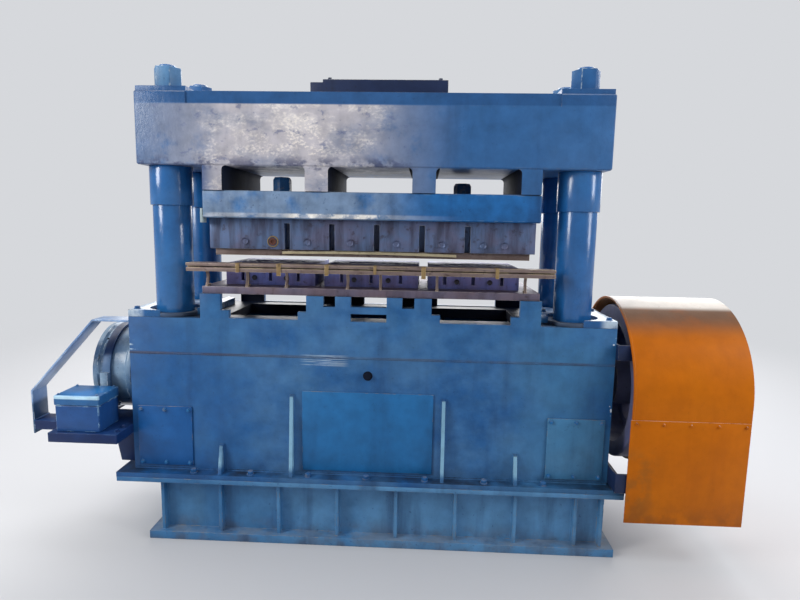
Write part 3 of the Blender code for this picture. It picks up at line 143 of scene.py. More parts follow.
connect(tree, tree.nodes["Material Output"], {"Surface": blend})
floor_mesh.materials.append(concrete)

world = bpy.data.worlds.new("hall")
bpy.context.scene.world = world
world.use_nodes = True
tree = world.node_tree
sky = tree.nodes["Background"]
connect(tree, sky, {"Color": shade(205, 208, 214), "Strength": 0.72})
pale = add_node(tree, "Background", {"Color": BACKDROP, "Strength": 1.0})
camera_ray = add_node(tree, "LightPath", out="Is Camera Ray")
blend = add_node(tree, "MixShader", {0: camera_ray, 1: sky.outputs[0], 2: pale})
connect(tree, tree.nodes["World Output"], {"Surface": blend})
bpy.context.scene.view_settings.view_transform = "Standard"
print("floor fades out from", FADE_FROM, "to", FADE_TO, "m")


# %% Lamps
def lamp(name, place, target, size, watts, tint=(1, 1, 1)):
    """A rectangular area lamp aimed at a point."""
    light = bpy.data.lights.new(name, "AREA")
    light.shape = "RECTANGLE"
    light.size, light.size_y = size
    light.energy = watts
    light.color = tint
    made = bpy.data.objects.new(name, light)
    bpy.context.scene.collection.objects.link(made)
    aim = Vector(target) - Vector(place)
    made.matrix_world = (Matrix.Translation(place)
                         @ aim.to_track_quat("-Z", "Y").to_matrix().to_4x4())
    made.visible_camera = False
    print(name, watts, "W")


lamp("window_left", (-3.8, -2.6, 3.2), (-0.3, 0, 1.3), (1.2, 2.8), 150, (1.0, 0.99, 0.96))
lamp("window_right", (4.4, -1.8, 2.8), (0.6, 0, 1.2), (1.0, 2.8), 95, (0.96, 0.98, 1.0))
lamp("roof_light", (0.0, 0.2, 5.2), (0, 0, 1.0), (5.0, 1.6), 70)
lamp("rear_windows", (0.4, 5.6, 3.9), (0.2, 0, 1.2), (9.5, 4.6), 620)

# %% [markdown]
# ## Masks and coats
# A worn surface is one colour with others laid over it. Each coat is a row: a colour, how
# much of it covers, and the masks that say where. A mask is a soft step along an axis, or
# through a noise, so a stain has its place and a ragged edge at once.

# %% Small building blocks of a material
EVEN, UNMOVED = (1, 1, 1), (0, 0, 0)


def object_place(tree, stretch=EVEN, start=UNMOVED):
    """Object coordinates in metres, stretched and shifted."""
    return add_node(tree, "Mapping", {"Vector": add_node(tree, "TexCoord", out="Object"),
                                      "Scale": stretch, "Location": start})


def grain(tree, scale, detail=3.0, stretch=EVEN, start=UNMOVED):
    """Noise from 0 to 1; scale is in waves to the metre."""
    return add_node(tree, "TexNoise", {"Scale": scale, "Detail": detail, "Roughness": 0.6,
                                       "Vector": object_place(tree, stretch, start)}, "Fac")


def ramp(tree, value, ends, results, kind="LINEAR"):
    """Carries one pair of numbers over to another."""
    return add_node(tree, "MapRange", {"Value": value, "From Min": ends[0],
                                       "From Max": ends[1], "To Min": results[0],
                                       "To Max": results[1]}, interpolation_type=kind)


def relief(tree, shader, height, strength, depth):
    bump = add_node(tree, "Bump", {"Height": height, "Strength": strength, "Distance": depth})
    connect(tree, shader, {"Normal": bump})


def clouds(scale, detail, low, high, stretch=EVEN, start=UNMOVED):
    """A mask of noise, for Coats."""
    return (scale, detail, stretch, start), low, high


class Coats:
    """Colour laid coat by coat over a first colour, in one shader tree.

    A mask is (source, low, high): 0 where the source is below low, 1 where it is above high.
    The source is X, Y or Z in metres, "|X|" for its size, "up" for the upward part of a
    face's normal, or the settings of a noise. The mask "edge" marks the rounded edges. Masks
    and their products are made once in a tree and used again.
    """
    def __init__(self, tree, color):
        self.tree, self.color, self.made = tree, shade(*color), {}

    def value(self, source):
        """The number that a mask compares with its low and high."""
        tree = self.tree
        if isinstance(source, tuple):
            return grain(tree, *source)
        if source == "|X|":
            return add_node(tree, "Math", {0: self.value("X")}, operation="ABSOLUTE")
        if source == "up":
            normal = add_node(tree, "NewGeometry", out="Normal")
            return add_node(tree, "SeparateXYZ", {0: normal}, "Z")
        return add_node(tree, "SeparateXYZ", {0: object_place(tree)}, source)

    def share(self, *masks):
        """One mask, or the product of several; the last may be a plain number."""
        if masks not in self.made:
            *others, last = masks
            if others:
                factors = {0: self.share(*others),
                           1: last if isinstance(last, float) else self.share(last)}
                made = add_node(self.tree, "Math", factors, operation="MULTIPLY")
            elif last == "edge":
                made = add_node(self.tree, "Attribute", out="Fac", attribute_name="edge")
            else:
                source, low, high = last
                made = ramp(self.tree, self.value(source), (low, high), (0, 1), "SMOOTHSTEP")
            self.made[masks] = made
        return self.made[masks]

    def coat(self, color, cover, *masks):
        """Lays a colour, 0 to 255, over the rest; cover is its share where masks are 1."""
        share = self.share(*masks, cover) if cover < 1 else self.share(*masks)
        self.color = add_node(self.tree, "Mix", {0: share, 6: self.color, 7: shade(*color)},
                              2, data_type="RGBA")


# %% [markdown]
# ## Paint
# The press was repainted by brush in one blue, over dirt and old paint. Near edges the
# paint is rubbed through, flat faces are faded in patches, grime has run down, and dust
# lies on top. On some pieces the colour of the tops and the edges is painted light
# instead: a painted highlight where they catch glare. One function makes all the enamels,
# so that each piece only says how worn it is and which stains of its own it has.

# %% Brushed enamel, worn as much as asked
BLUE, FADED_BLUE, GRIME = (22, 82, 138), (58, 106, 150), (16, 42, 82)
CHIPPED, DUST = (120, 116, 112), (150, 146, 140)
FINISHES = {}


def enamel(name, color, faded, grime=GRIME, slot="blue_paint", gloss=0.38, fade=0.6,
           dirt=0.5, chips=0.8, dust=0.5, top_dust_and_painted_light=DUST, edge_wear_and_highlight=CHIPPED, mirror=0.32,
           mottle=0.16, bump=(0.22, 0.004), stains=()):
    """Colours are 0 to 255, amounts 0 to 1; stains are rows for Coats.coat."""
    material, tree, shader = new_material(name)
    coats = Coats(tree, color)
    coats.coat(faded, fade, clouds(2.3, 5.0, 0.42, 0.68))
    for stain in stains:
        coats.coat(*stain)
    coats.coat(grime, dirt, clouds(9.0, 4.0, 0.5, 0.78, (1, 1, 0.12)))
    coats.coat(grime, dirt * 0.7, clouds(55.0, 2.0, 0.66, 0.72))
    # Upward faces take one colour: settled dust on most pieces, a painted highlight on the pads
    coats.coat(top_dust_and_painted_light, dust, ("up", 0.45, 0.95), clouds(7.0, 4.0, 0.3, 0.7))
    # The brush left the paint thin in some places and thick in others
    sway = ramp(tree, grain(tree, 13.0, 8.0, start=(7.0, 3.0, 5.0)), (0.3, 0.7),
                (1 - mottle, 1 + mottle))
    coats.color = add_node(tree, "HueSaturation", {"Value": sway, "Color": coats.color})
    # Edges take one colour: rubbed-through paint, and on the drum and the brake strip also a
    # painted highlight
    coats.coat(edge_wear_and_highlight, chips, "edge", clouds(26.0, 4.0, 0.5, 0.62))
    rough = ramp(tree, grain(tree, 5.0, 5.0, start=(3.0, 1.0, 2.0)), (0, 1),
                 (gloss - 0.1, gloss + 0.22))
    connect(tree, shader, {"Base Color": coats.color, "Roughness": rough,
                           "Specular IOR Level": mirror})
    relief(tree, shader, grain(tree, 42.0, 6.0, (1, 1, 0.55)), *bump)
    FINISHES[name] = material, slot


# %% The plainer blues
enamel("blue_enamel", BLUE, FADED_BLUE)
enamel("panel_enamel", (27, 99, 155), (41, 109, 161), fade=0.4, dirt=0.25)
enamel("left_cover_enamel", (16, 80, 142), (30, 90, 148), fade=0.4, dirt=0.3)
enamel("right_cover_enamel", (58, 112, 152), (74, 122, 158), fade=0.6, dirt=0.3)
# The flywheel's blue is painted lighter: painted light that makes up for the shade inside its
# guard
enamel("wheel_enamel", (84, 88, 122), (104, 108, 138), (30, 32, 48), "dark_blue_paint",
       gloss=0.5)
enamel("column_enamel", (30, 92, 152), (46, 108, 164), (14, 44, 88), "column_paint",
       gloss=0.15, fade=0.5, dirt=0.35, chips=0.3, dust=0.2, mirror=0.6)
enamel("dark_enamel", (20, 36, 70), (32, 50, 86), (12, 18, 32), "dark_blue_paint", gloss=0.4)
enamel("shelf_enamel", (8, 34, 80), (20, 56, 108), gloss=0.4, top_dust_and_painted_light=(22, 64, 118),
       edge_wear_and_highlight=(60, 100, 146))
# A black for the oil plug and the base between its raised walls, and painted shade in the
# crosshead's windows and the drum's slots
enamel("shade_and_oil_black", (18, 24, 40), (30, 38, 58), (10, 12, 18), "dark_blue_paint", gloss=0.75,
       chips=0.0, dust=0.0, mirror=0.1)
enamel("box_enamel", (30, 72, 130), (42, 86, 142), gloss=0.3, dirt=0.3,
       edge_wear_and_highlight=(150, 190, 216))
# The drum's edges are painted near white: worn paint with a painted highlight on the rims
enamel("drum_enamel", (70, 108, 148), (148, 172, 190), (24, 50, 86), gloss=0.22, fade=0.9,
       dirt=0.6, chips=1.0, edge_wear_and_highlight=(206, 220, 228), mirror=0.5)
enamel("sheet_enamel", (40, 92, 146), (96, 140, 178), gloss=0.32, fade=0.8, chips=1.0,
       edge_wear_and_highlight=(150, 168, 184))
# The lug is painted pale: a painted highlight of the glare on it
enamel("lug_enamel", (150, 168, 172), (176, 190, 190), (70, 90, 110))
enamel("beige_enamel", (186, 176, 146), (170, 152, 120), (104, 86, 66), "beige_paint",
       gloss=0.45)
print("plain enamels:", len(FINISHES))

# %% [markdown]
# Other pieces have a mark of their own. The plinth's pockets grow paler to the right and
# are muddy at the foot. The pads have a painted highlight, nearly white, on their tops and
# at their outer ends. The brake band is pale beside its lugs. The bent strip over the
# brake is painted pale, as painted light on its shaded inner face, with painted highlights
# for glints and painted shade in its upright part, and the control box's lid has a painted
# highlight along its front edge.

# %% Blues with a mark of their own
enamel("plinth_enamel", (44, 98, 146), (74, 118, 154), dirt=0.55, dust=0.8,
       top_dust_and_painted_light=(112, 128, 146), stains=(
           ((86, 136, 178), 0.7, ("X", -0.9, -0.25), clouds(3.0, 5.0, 0.2, 0.55)),
           ((84, 84, 92), 0.5, ("Z", 0.13, 0.03), clouds(9.0, 6.0, 0.4, 0.62))))
# A painted highlight: the pads' tops and outer ends are painted nearly white
enamel("pad_enamel", BLUE, FADED_BLUE, gloss=0.25, dust=1.0, top_dust_and_painted_light=(206, 218, 230),
       mirror=0.5, stains=(
           ((200, 216, 226), 0.7, ("|X|", 1.05, 1.09), clouds(16.0, 5.0, 0.3, 0.5)),))
enamel("band_enamel", (12, 44, 88), (26, 62, 108), (8, 20, 44), "dark_blue_paint", gloss=0.4,
       edge_wear_and_highlight=(120, 150, 176), stains=(
           ((96, 128, 166), 0.85, ("Z", 0.885, 0.865), clouds(18.0, 4.0, 0.25, 0.45)),))
lid_low, lid_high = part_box("control_box_lid")
enamel("lid_enamel", (40, 92, 144), (56, 108, 158), gloss=0.3, dirt=0.3, dust=0.9,
       top_dust_and_painted_light=(26, 112, 178), edge_wear_and_highlight=(160, 200, 222), stains=(
           # A painted highlight along the lid's front edge
           ((190, 224, 240), 0.85, ("Y", lid_low.y + 0.012, lid_low.y + 0.006),
            ("Z", lid_high.z - 0.018, lid_high.z - 0.013)),))
# The strip is painted pale, painted light on its shaded inner face; its white chips are painted
# highlights, and its upright part has painted shade
enamel("strip_enamel", (122, 152, 194), (172, 194, 220), (50, 80, 124), gloss=0.3, fade=0.9,
       dirt=0.6, chips=1.0, edge_wear_and_highlight=(200, 216, 228), stains=(
           ((36, 72, 104), 0.85, ("Z", 0.665, 0.64)),))
print("enamels:", len(FINISHES))

# %% [markdown]
# The crosshead's face is the most worn surface. Its old paint is lumpy, chalky and rubbed
# to grey over the left two thirds, with painted glare on its lumps, and clean blue at the
# right end and along the top band. The masks are slopes along X, broken up by noises of
# several sizes.

# %% Chalky paint on the crosshead
CHALK = (("X", 0.46, -0.08), ("Z", 2.066, 2.056), ("Y", 0.1, -0.1), ("X", -1.22, -0.80))
RUBBED_AND_GLARE = CHALK + (("X", 0.18, -0.16), ("X", -0.86, -0.60),
                  clouds(4.5, 6.0, 0.26, 0.56, (1, 1, 1.6), (0.3, 0.0, 0.9)))
COARSE = clouds(8.0, 5.0, 0.42, 0.58, (1, 1, 1.7), (2.0, 0.0, 4.0))
FINE = clouds(64.0, 6.0, 0.46, 0.60, (1, 1, 1.5))
enamel("crosshead_enamel", (48, 96, 148), (62, 106, 156), gloss=0.28, dirt=0.3,
       bump=(0.36, 0.006), stains=(
           ((136, 142, 160), 0.92, *CHALK, clouds(11.0, 5.0, 0.2, 0.5)),
           ((196, 190, 194), 0.85, *RUBBED_AND_GLARE),
           # Small lumps are painted nearly white, a painted highlight of glare on lumpy paint,
           # most of all in the upper half
           ((238, 230, 222), 0.85, *RUBBED_AND_GLARE, FINE, COARSE),
           ((232, 226, 222), 0.5, *RUBBED_AND_GLARE, ("Z", 1.88, 2.0), COARSE),
           ((92, 104, 142), 0.6, *CHALK,
            clouds(16.0, 6.0, 0.58, 0.66, (1, 1, 1.5), (5.0, 2.0, 3.0))),
           # Old dark paint shows along the lower edge, and the left leg is painted darker as
           # painted shade
           ((54, 62, 98), 0.75, ("Z", 1.85, 1.80), ("Z", 1.765, 1.785), ("X", 0.30, 0.05),
            clouds(15.0, 6.0, 0.44, 0.56, (1, 1, 1.3), (1.0, 5.0, 2.0))),
           ((56, 84, 132), 0.9, ("Z", 1.80, 1.785), ("X", -0.70, -0.78)),
           # The windows are painted black inside as painted shade; the band along the top is a
           # darker blue
           ((24, 32, 54), 0.85, ("Z", 1.789, 1.785), ("Y", -0.303, -0.296),
            ("Y", 0.303, 0.296)),
           ((28, 72, 122), 0.6, ("Z", 2.060, 2.070))))

# %% [markdown]
# The base has a rusty weld seam with paler paint above it, is darker towards the foot and
# on its upward faces, and has thin level scratches where something was dragged along. Bare
# spots stand at both ends, and the fronts of the ribs have a painted highlight. Inside the
# raised walls the bed plate is painted black.

# %% Stains on the base
SEAM = ("Z", 0.908, 0.917), ("Z", 0.930, 0.921)
DRAGGED = (("X", -0.33, -0.28), ("X", -0.08, -0.13), ("Z", 0.872, 0.885),
           ("Z", 0.938, 0.925), ("Y", -0.29, -0.30))
CORNER = ("Y", -0.27, -0.29), clouds(34.0, 5.0, 0.42, 0.56)
# The height, the right end and half the width of each rub at the left corner
RUBS = ((0.934, -1.090, 0.004), (0.957, -1.112, 0.007), (0.985, -1.100, 0.010))
enamel("base_enamel", (18, 78, 134), (54, 102, 146), fade=0.5, dirt=0.35, dust=0.9,
       top_dust_and_painted_light=(30, 38, 54), stains=(
           ((62, 114, 150), 0.6, ("X", 0.35, 0.95), clouds(2.0, 4.0, 0.3, 0.6)),
           ((62, 66, 88), 0.85, *SEAM, clouds(3.0, 4.0, 0.3, 0.55)),
           ((58, 112, 160), 0.5, ("Z", 0.93, 0.99), clouds(6.0, 5.0, 0.4, 0.7),
            ("X", -1.0, -0.7)),
           (GRIME, 0.35, ("Z", 0.46, 0.345), clouds(8.0, 3.0, 0.3, 0.6)),
           ((150, 168, 186), 0.8, *DRAGGED, clouds(9.0, 3.0, 0.5, 0.56, (0.6, 1.0, 26.0))),
           # A paler field in the middle
           ((84, 128, 166), 0.4, ("X", -0.75, -0.45), ("X", 0.95, 0.6),
            clouds(4.0, 6.0, 0.3, 0.65, (1, 1, 1.4), (3.0, 1.0, 6.0))),
           *(((180, 206, 222), 0.9, ("Z", level - half, level), ("Z", level + half, level),
              ("X", end, end - 0.02), *CORNER) for level, end, half in RUBS),
           ((206, 218, 228), 0.9, ("X", 1.112, 1.122), ("Z", 0.62, 0.70),
            clouds(26.0, 3.0, 0.6, 0.66, start=(4.0, 4.0, 4.0))),
           # A painted highlight on the fronts of the ribs
           ((132, 176, 200), 0.8, ("Y", -0.321, -0.326), ("Z", 0.36, 0.40),
            clouds(12.0, 4.0, 0.3, 0.5, (1, 1, 0.3))),
           ((20, 30, 48), 1, ("Y", -0.285, -0.27), ("Z", 1.03, 1.06), ("Y", 0.285, 0.27))))

# %% [markdown]
# The beam that carries the upper die is rubbed pale at the left, and the paint has peeled
# from its lower lip.

# %% Rubbed face and peeled lip
LIP = ("Z", 1.586, 1.578), ("Z", 1.560, 1.566)
enamel("beam_enamel", (26, 92, 152), (44, 104, 160), gloss=0.3, edge_wear_and_highlight=(96, 128, 160),
       mottle=0.3, stains=(
           ((122, 142, 166), 0.8, ("X", 0.3, -0.05), clouds(8.0, 6.0, 0.25, 0.55)),
           ((184, 188, 196), 0.65, *LIP, ("X", 0.45, -0.1),
            clouds(14.0, 5.0, 0.36, 0.5, (0.5, 1.0, 2.0))),
           ((240, 236, 228), 0.9, *LIP, ("X", -0.42, -0.34), ("X", 0.12, 0.0),
            clouds(24.0, 5.0, 0.4, 0.55))))

# %% [markdown]
# The guard over the flywheel is orange. It is cleaner than the press, with a dull sheen,
# scuffs near its foot and a darker dirty edge. Its level top has a painted highlight,
# nearly white along the crown, then a darker brown band where the curve turns down.

# %% Orange enamel
CLOUDY = (5.0, 5.0, EVEN, (2.0, 7.0, 1.0))
enamel("orange_enamel", (182, 96, 0), (194, 106, 2), (154, 78, 8), "orange_paint",
       gloss=0.34, mottle=0.08, fade=0.6, dirt=0.35, chips=0.9, dust=0.0,
       edge_wear_and_highlight=(110, 66, 40), mirror=0.15, stains=(
           # A darker brown band where the top's curve turns down
           ((86, 76, 66), 0.85, ("up", 0.62, 0.88), (CLOUDY, 0.15, 0.5)),
           ((110, 82, 40), 0.4, ("X", 1.36, 1.24), ("Z", 0.60, 0.50),
            clouds(12.0, 5.0, 0.4, 0.6)),
           # A painted highlight, nearly white, along the level crown
           ((216, 208, 198), 0.9, ("up", 0.905, 0.945), (CLOUDY, 0.05, 0.3)),
           ((120, 66, 24), 0.5, ("Z", 0.36, 0.22), clouds(10.0, 5.0, 0.35, 0.6))))
print("enamels:", len(FINISHES))

# %% [markdown]
# ## Steel
# The dies and the feed rail are bare steel that has gone brown and purple with oil and
# old rust, and is rubbed bright only where the stock slides. Metal needs some mirror in
# it, so the metallic value follows the same noise as the rust.

# %% Oily and rusty steel
DEEP_RUST, OIL = (52, 34, 34), (50, 46, 62)


def steel(name, slot, color, rust, bright, metallic=0.7, roughness=0.45, rusted=0.6,
          rubbed=0.8, streaks=0.0):
    material, tree, shader = new_material(name)
    coats = Coats(tree, color)
    stain = clouds(6.0, 7.0, 0.4, 0.64)
    coats.coat(rust, rusted, stain)
    coats.coat(DEEP_RUST, rusted, clouds(30.0, 4.0, 0.56, 0.7, start=(4.0, 2.0, 1.0)))
    coats.coat(OIL, streaks, clouds(17.0, 5.0, 0.42, 0.64, (1, 1, 0.16), (1.0, 6.0, 2.0)))
    coats.coat(bright, rubbed, "edge", clouds(20.0, 3.0, 0.38, 0.55))
    shine = ramp(tree, coats.share(stain, rusted), (0, 1), (metallic, metallic * 0.35))
    rough = ramp(tree, grain(tree, 12.0, 6.0), (0, 1), (roughness - 0.1, roughness + 0.3))
    connect(tree, shader, {"Base Color": coats.color, "Metallic": shine, "Roughness": rough})
    relief(tree, shader, grain(tree, 70.0, 6.0), 0.25, 0.003)
    FINISHES[name] = material, slot


steel("die_steel", "die_steel", (90, 112, 150), (104, 94, 118), (150, 156, 168),
      metallic=0.4, streaks=0.7)
steel("lower_die_steel", "die_steel", (98, 108, 176), (114, 98, 132), (156, 154, 168),
      metallic=0.3, streaks=0.5)
steel("bolster_steel", "die_steel", (98, 92, 112), (104, 82, 84), (170, 162, 160),
      metallic=0.4, streaks=0.4)
steel("rail_steel", "rail_steel", (128, 112, 108), (92, 72, 66), (222, 204, 160),
      metallic=0.45)
steel("clip_steel", "rail_steel", (146, 122, 82), (104, 78, 56), (220, 196, 144),
      metallic=0.3, roughness=0.4, rusted=0.5)
steel("rusty_steel", "shaft_steel", (92, 52, 40), (70, 38, 34), (150, 110, 80), metallic=0.3)
steel("hole_steel", "shaft_steel", (54, 56, 70), (60, 50, 50), (140, 140, 144), metallic=0.6)
steel("shaft_steel", "shaft_steel", (168, 166, 162), (120, 100, 84), (200, 198, 194),
      metallic=0.95, roughness=0.3, rusted=0.25)
steel("cast_iron", "cast_iron", (66, 66, 70), (70, 58, 50), (120, 118, 116),
      metallic=0.4, roughness=0.6, rusted=0.3)
steel("bearing_bronze", "bronze", (46, 74, 108), (78, 76, 72), (112, 104, 84),
      metallic=0.3, roughness=0.5, rusted=0.4, rubbed=0.3)

# %% Belt rubber
material, tree, shader = new_material("belt_rubber")
coats = Coats(tree, (28, 28, 29))
coats.coat((62, 60, 58), 0.6, clouds(18.0, 4.0, 0.4, 0.7))
connect(tree, shader, {"Base Color": coats.color, "Roughness": 0.72})
relief(tree, shader, grain(tree, 160.0, 2.0), 0.3, 0.001)
FINISHES["belt_rubber"] = material, "belt_rubber"
print("finishes:", len(FINISHES))

# %% [markdown]
# ## From a solid to a finished piece
# Welded and machined blocks already have the right shape, so a copy of each solid is
# merged, its flat triangles are joined, and its sharp edges are rounded by a bevel of a
# few millimetres. Light catches on those edges as it does on real plate. The bevel's
# faces are marked for the worn paint.

# %% Make and finish a piece
CREASE = math.radians(32)
FLAT = math.radians(1)
SAME_PLACE = 0.00002


def finished(name, bm, body, finish):
    """Turns a bmesh into a piece that rides on a body."""
    material, usual_slot = FINISHES[finish]
    mesh = bpy.data.meshes.new(name)
    bm.to_mesh(mesh)
    bm.free()
    mesh.materials.append(material)
    mesh.shade_smooth()
    mesh.set_sharp_from_angle(angle=CREASE)
    piece = bpy.data.objects.new(name, mesh)
    bpy.context.scene.collection.objects.link(piece)
    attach(piece, body)
    print(name, "has", len(mesh.polygons), "faces")
    return piece


body_of = {node: body for body, nodes in frame["record"]["behaviour"]["bodies"].items()
           for node in nodes}


def stand_in(node, bm, finish):
    """A piece that takes a solid's place and rides on the solid's own body."""
    piece = finished(node + "_surface", bm, body_of[node], finish)
    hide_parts(node)
    return piece


def round_edges(bm, width, segments=2, angle=35):
    """Rounds the sharp edges and marks the new faces for wear."""
    mark = bm.faces.layers.float.get("edge") or bm.faces.layers.float.new("edge")
    sharp = [edge for edge in bm.edges
             if len(edge.link_faces) == 2 and edge.calc_face_angle() > math.radians(angle)]
    made = bmesh.ops.bevel(bm, geom=sharp, offset=width, offset_type="OFFSET",
                           segments=segments, affect="EDGES", profile=0.5,
                           clamp_overlap=True, material=-1)
    for face in made["faces"]:
        face[mark] = 1.0


def merged_copy(node):
    """The solid's mesh with the corners of its triangles joined."""
    bm = bmesh.new()
    bm.from_mesh(frame["nodes"][node].data)
    bmesh.ops.remove_doubles(bm, verts=bm.verts, dist=SAME_PLACE)
    return bm


def dressed(node, finish, width=0.002):
    """The solid with flat faces, rounded edges and its own finish."""
    bm = merged_copy(node)
    bmesh.ops.dissolve_limit(bm, angle_limit=FLAT, verts=bm.verts, edges=bm.edges)
    round_edges(bm, width)
    return stand_in(node, bm, finish)


def darken(piece, inside):
    """Gives the faces for which inside(middle, normal) holds the black finish."""
    mesh = piece.data
    mesh.materials.append(FINISHES["shade_and_oil_black"][0])
    for face in mesh.polygons:
        if inside(face.center, face.normal):
            face.material_index = 1


# %% Plates, blocks and weldments
surfaces = {}
for finish, width, nodes in (
        ("plinth_enamel", 0.002, "plinth"), ("base_enamel", 0.003, "base_frame"),
        ("panel_enamel", 0.0015, "center_panel"),
        ("left_cover_enamel", 0.0015, "left_inspection_cover"),
        ("right_cover_enamel", 0.0015, "right_inspection_cover"),
        ("pad_enamel", 0.002, "left_bed_pad right_bed_pad"),
        ("crosshead_enamel", 0.002, "crosshead"), ("beam_enamel", 0.0015, "lower_beam"),
        ("shelf_enamel", 0.002, "brake_shelf"), ("strip_enamel", 0.0012, "brake_hood"),
        ("box_enamel", 0.0015, "control_box"), ("lid_enamel", 0.0015, "control_box_lid"),
        ("blue_enamel", 0.002, "motor_shelf"),
        ("dark_enamel", 0.0025,
         "crown_plate lower_yoke terminal_box upper_guard_stay lower_guard_stay"),
        ("bolster_steel", 0.0012, "bolster_plate"),
        ("lower_die_steel", 0.0012, "left_die center_die right_die"),
        ("die_steel", 0.0012, "upper_die"),
        ("rail_steel", 0.001, "stripper_plate feed_rail rail_cap"),
        ("beige_enamel", 0.0015, "guide_strip"),
        ("cast_iron", 0.003, "left_connecting_rod right_connecting_rod")):
    for node in nodes.split():
        surfaces[node] = dressed(node, finish, width)
# The crosshead's windows are painted black inside as painted shade, and the faces inside the
# base's raised walls are black too
darken(surfaces["crosshead"],
       lambda at, normal: abs(at.y) < 0.3 and at.z < 1.792 and abs(at.x) < 0.74)
darken(surfaces["base_frame"],
       lambda at, normal: abs(at.y) < 0.285 and at.z > 0.96 and normal.z < 0.6)

# %% [markdown]
# ## Turned pieces
# Columns, collars, bushes, bearings and the drum come off a lathe. The solid has only a
# few sides, so its section on one side of the axis is kept, and is spun again in finer
# steps. That keeps every radius and shoulder where the solid has it.

# %% Spin a solid's own section again
ON_PLANE = 0.00005


def section(node, axis):
    """The edges of a turned solid that lie in one half-plane through its axis."""
    bm = merged_copy(node)
    low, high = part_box(node)
    middle = (low + high) / 2
    inside = set()
    for vert in bm.verts:
        out = vert.co.x - middle.x if axis == "Z" else middle.z - vert.co.z
        if abs(vert.co.y - middle.y) < ON_PLANE and out > -ON_PLANE:
            inside.add(vert)
    bmesh.ops.delete(bm, geom=list(bm.faces), context="FACES_ONLY")
    loose = [edge for edge in bm.edges
             if edge.verts[0] not in inside or edge.verts[1] not in inside]
    bmesh.ops.delete(bm, geom=loose, context="EDGES")
    bmesh.ops.delete(bm, geom=[v for v in bm.verts if not v.link_edges], context="VERTS")
    return bm, middle


def spun(bm, middle, axis, steps):
    direction = (0, 0, 1) if axis == "Z" else (1, 0, 0)
    bmesh.ops.spin(bm, geom=bm.verts[:] + bm.edges[:], cent=middle, axis=direction,
                   steps=steps, angle=2 * math.pi, use_merge=True, use_duplicate=False)
    bmesh.ops.remove_doubles(bm, verts=bm.verts, dist=SAME_PLACE)
    # A section without a point on the axis leaves its ends open
    bmesh.ops.holes_fill(bm, edges=[edge for edge in bm.edges if edge.is_boundary], sides=0)
    bmesh.ops.recalc_face_normals(bm, faces=bm.faces)


def turned(node, axis, finish, steps=64, width=0.0015):
    bm, middle = section(node, axis)
    spun(bm, middle, axis, steps)
    round_edges(bm, width)
    return stand_in(node, bm, finish)


for number in range(1, 5):
    turned(f"column_{number}", "Z", "column_enamel", 72)
    turned(f"collar_{number}", "Z", "column_enamel", 72, 0.003)
    turned(f"guide_bush_{number}", "Z", "bearing_bronze")
for side in ("left", "right"):
    turned(side + "_main_bearing", "X", "cast_iron", 64, 0.003)
turned("fan_cowl", "X", "dark_enamel", 56, 0.003)
turned("motor_pulley", "X", "cast_iron", 56)

# %% [markdown]
# ## Pieces drawn again
# Some solids are too plain for their place in view: the wheel and its guard, the shaft,
# the motor and the belts. They are made again from their own sections and outlines, at
# the sizes that the solids' boxes give.

# %% Lathe work, flat plates and blocks
ORIGIN = Vector((0, 0, 0))
SIDEWAYS = Matrix(((0, 0, 1), (1, 0, 0), (0, 1, 0))).to_4x4()


def lathe(profile, middle, steps=64, width=0.0):
    """A section of (x, radius), spun round a level axis; width rounds its edges."""
    bm = bmesh.new()
    verts = [bm.verts.new((along, middle.y, middle.z - radius)) for along, radius in profile]
    pairs = list(zip(verts, verts[1:]))
    if profile[0][1] > 0 and profile[-1][1] > 0:
        pairs.append((verts[-1], verts[0]))
    for pair in pairs:
        bm.edges.new(pair)
    spun(bm, middle, "X", steps)
    if width:
        round_edges(bm, width)
    return bm


def disc(start, end, radius):
    """The section of a plain disc, for lathe."""
    return [(start, 0.0), (start, radius), (end, radius), (end, 0.0)]


def arc(radius, start, end, steps, middle=(0.0, 0.0)):
    turns = [math.radians(start + (end - start) * k / steps) for k in range(steps + 1)]
    return [(middle[0] + radius * math.cos(t), middle[1] + radius * math.sin(t))
            for t in turns]


def circle(radius, sides, middle=(0.0, 0.0)):
    return arc(radius, 0, 360, sides, middle)[:-1]


def plate(loops, thickness, middle, width=0.0, angle=35, segments=2):
    """A plate across X. Its edge and its holes are drawn in Y and Z from the middle."""
    bm = bmesh.new()
    edges = []
    for loop in loops:
        verts = [bm.verts.new((y, z, -thickness / 2)) for y, z in loop]
        edges += [bm.edges.new(pair) for pair in zip(verts, verts[1:] + verts[:1])]
    bmesh.ops.triangle_fill(bm, use_beauty=True, use_dissolve=True, edges=edges)
    grown = bmesh.ops.extrude_face_region(bm, geom=bm.faces[:])
    bmesh.ops.translate(bm, vec=(0, 0, thickness), verts=verts_of(grown["geom"]))
    bmesh.ops.recalc_face_normals(bm, faces=bm.faces)
    bmesh.ops.transform(bm, matrix=Matrix.Translation(middle) @ SIDEWAYS, verts=bm.verts)
    if width:
        round_edges(bm, width, segments, angle)
    return bm


def verts_of(geometry):
    return [item for item in geometry if isinstance(item, bmesh.types.BMVert)]


def brick(low, high, width=0.002, lean=(0, 0, 0)):
    """A block between two corners, with rounded edges; lean moves its top."""
    bm = bmesh.new()
    low, high = Vector(low), Vector(high)
    middle = (low + high) / 2
    bmesh.ops.create_cube(bm, size=1.0, matrix=Matrix.Translation(middle)
                          @ Matrix.Diagonal((*(high - low), 1.0)))
    bmesh.ops.translate(bm, vec=lean, verts=[v for v in bm.verts if v.co.z > middle.z])
    round_edges(bm, width)
    return bm


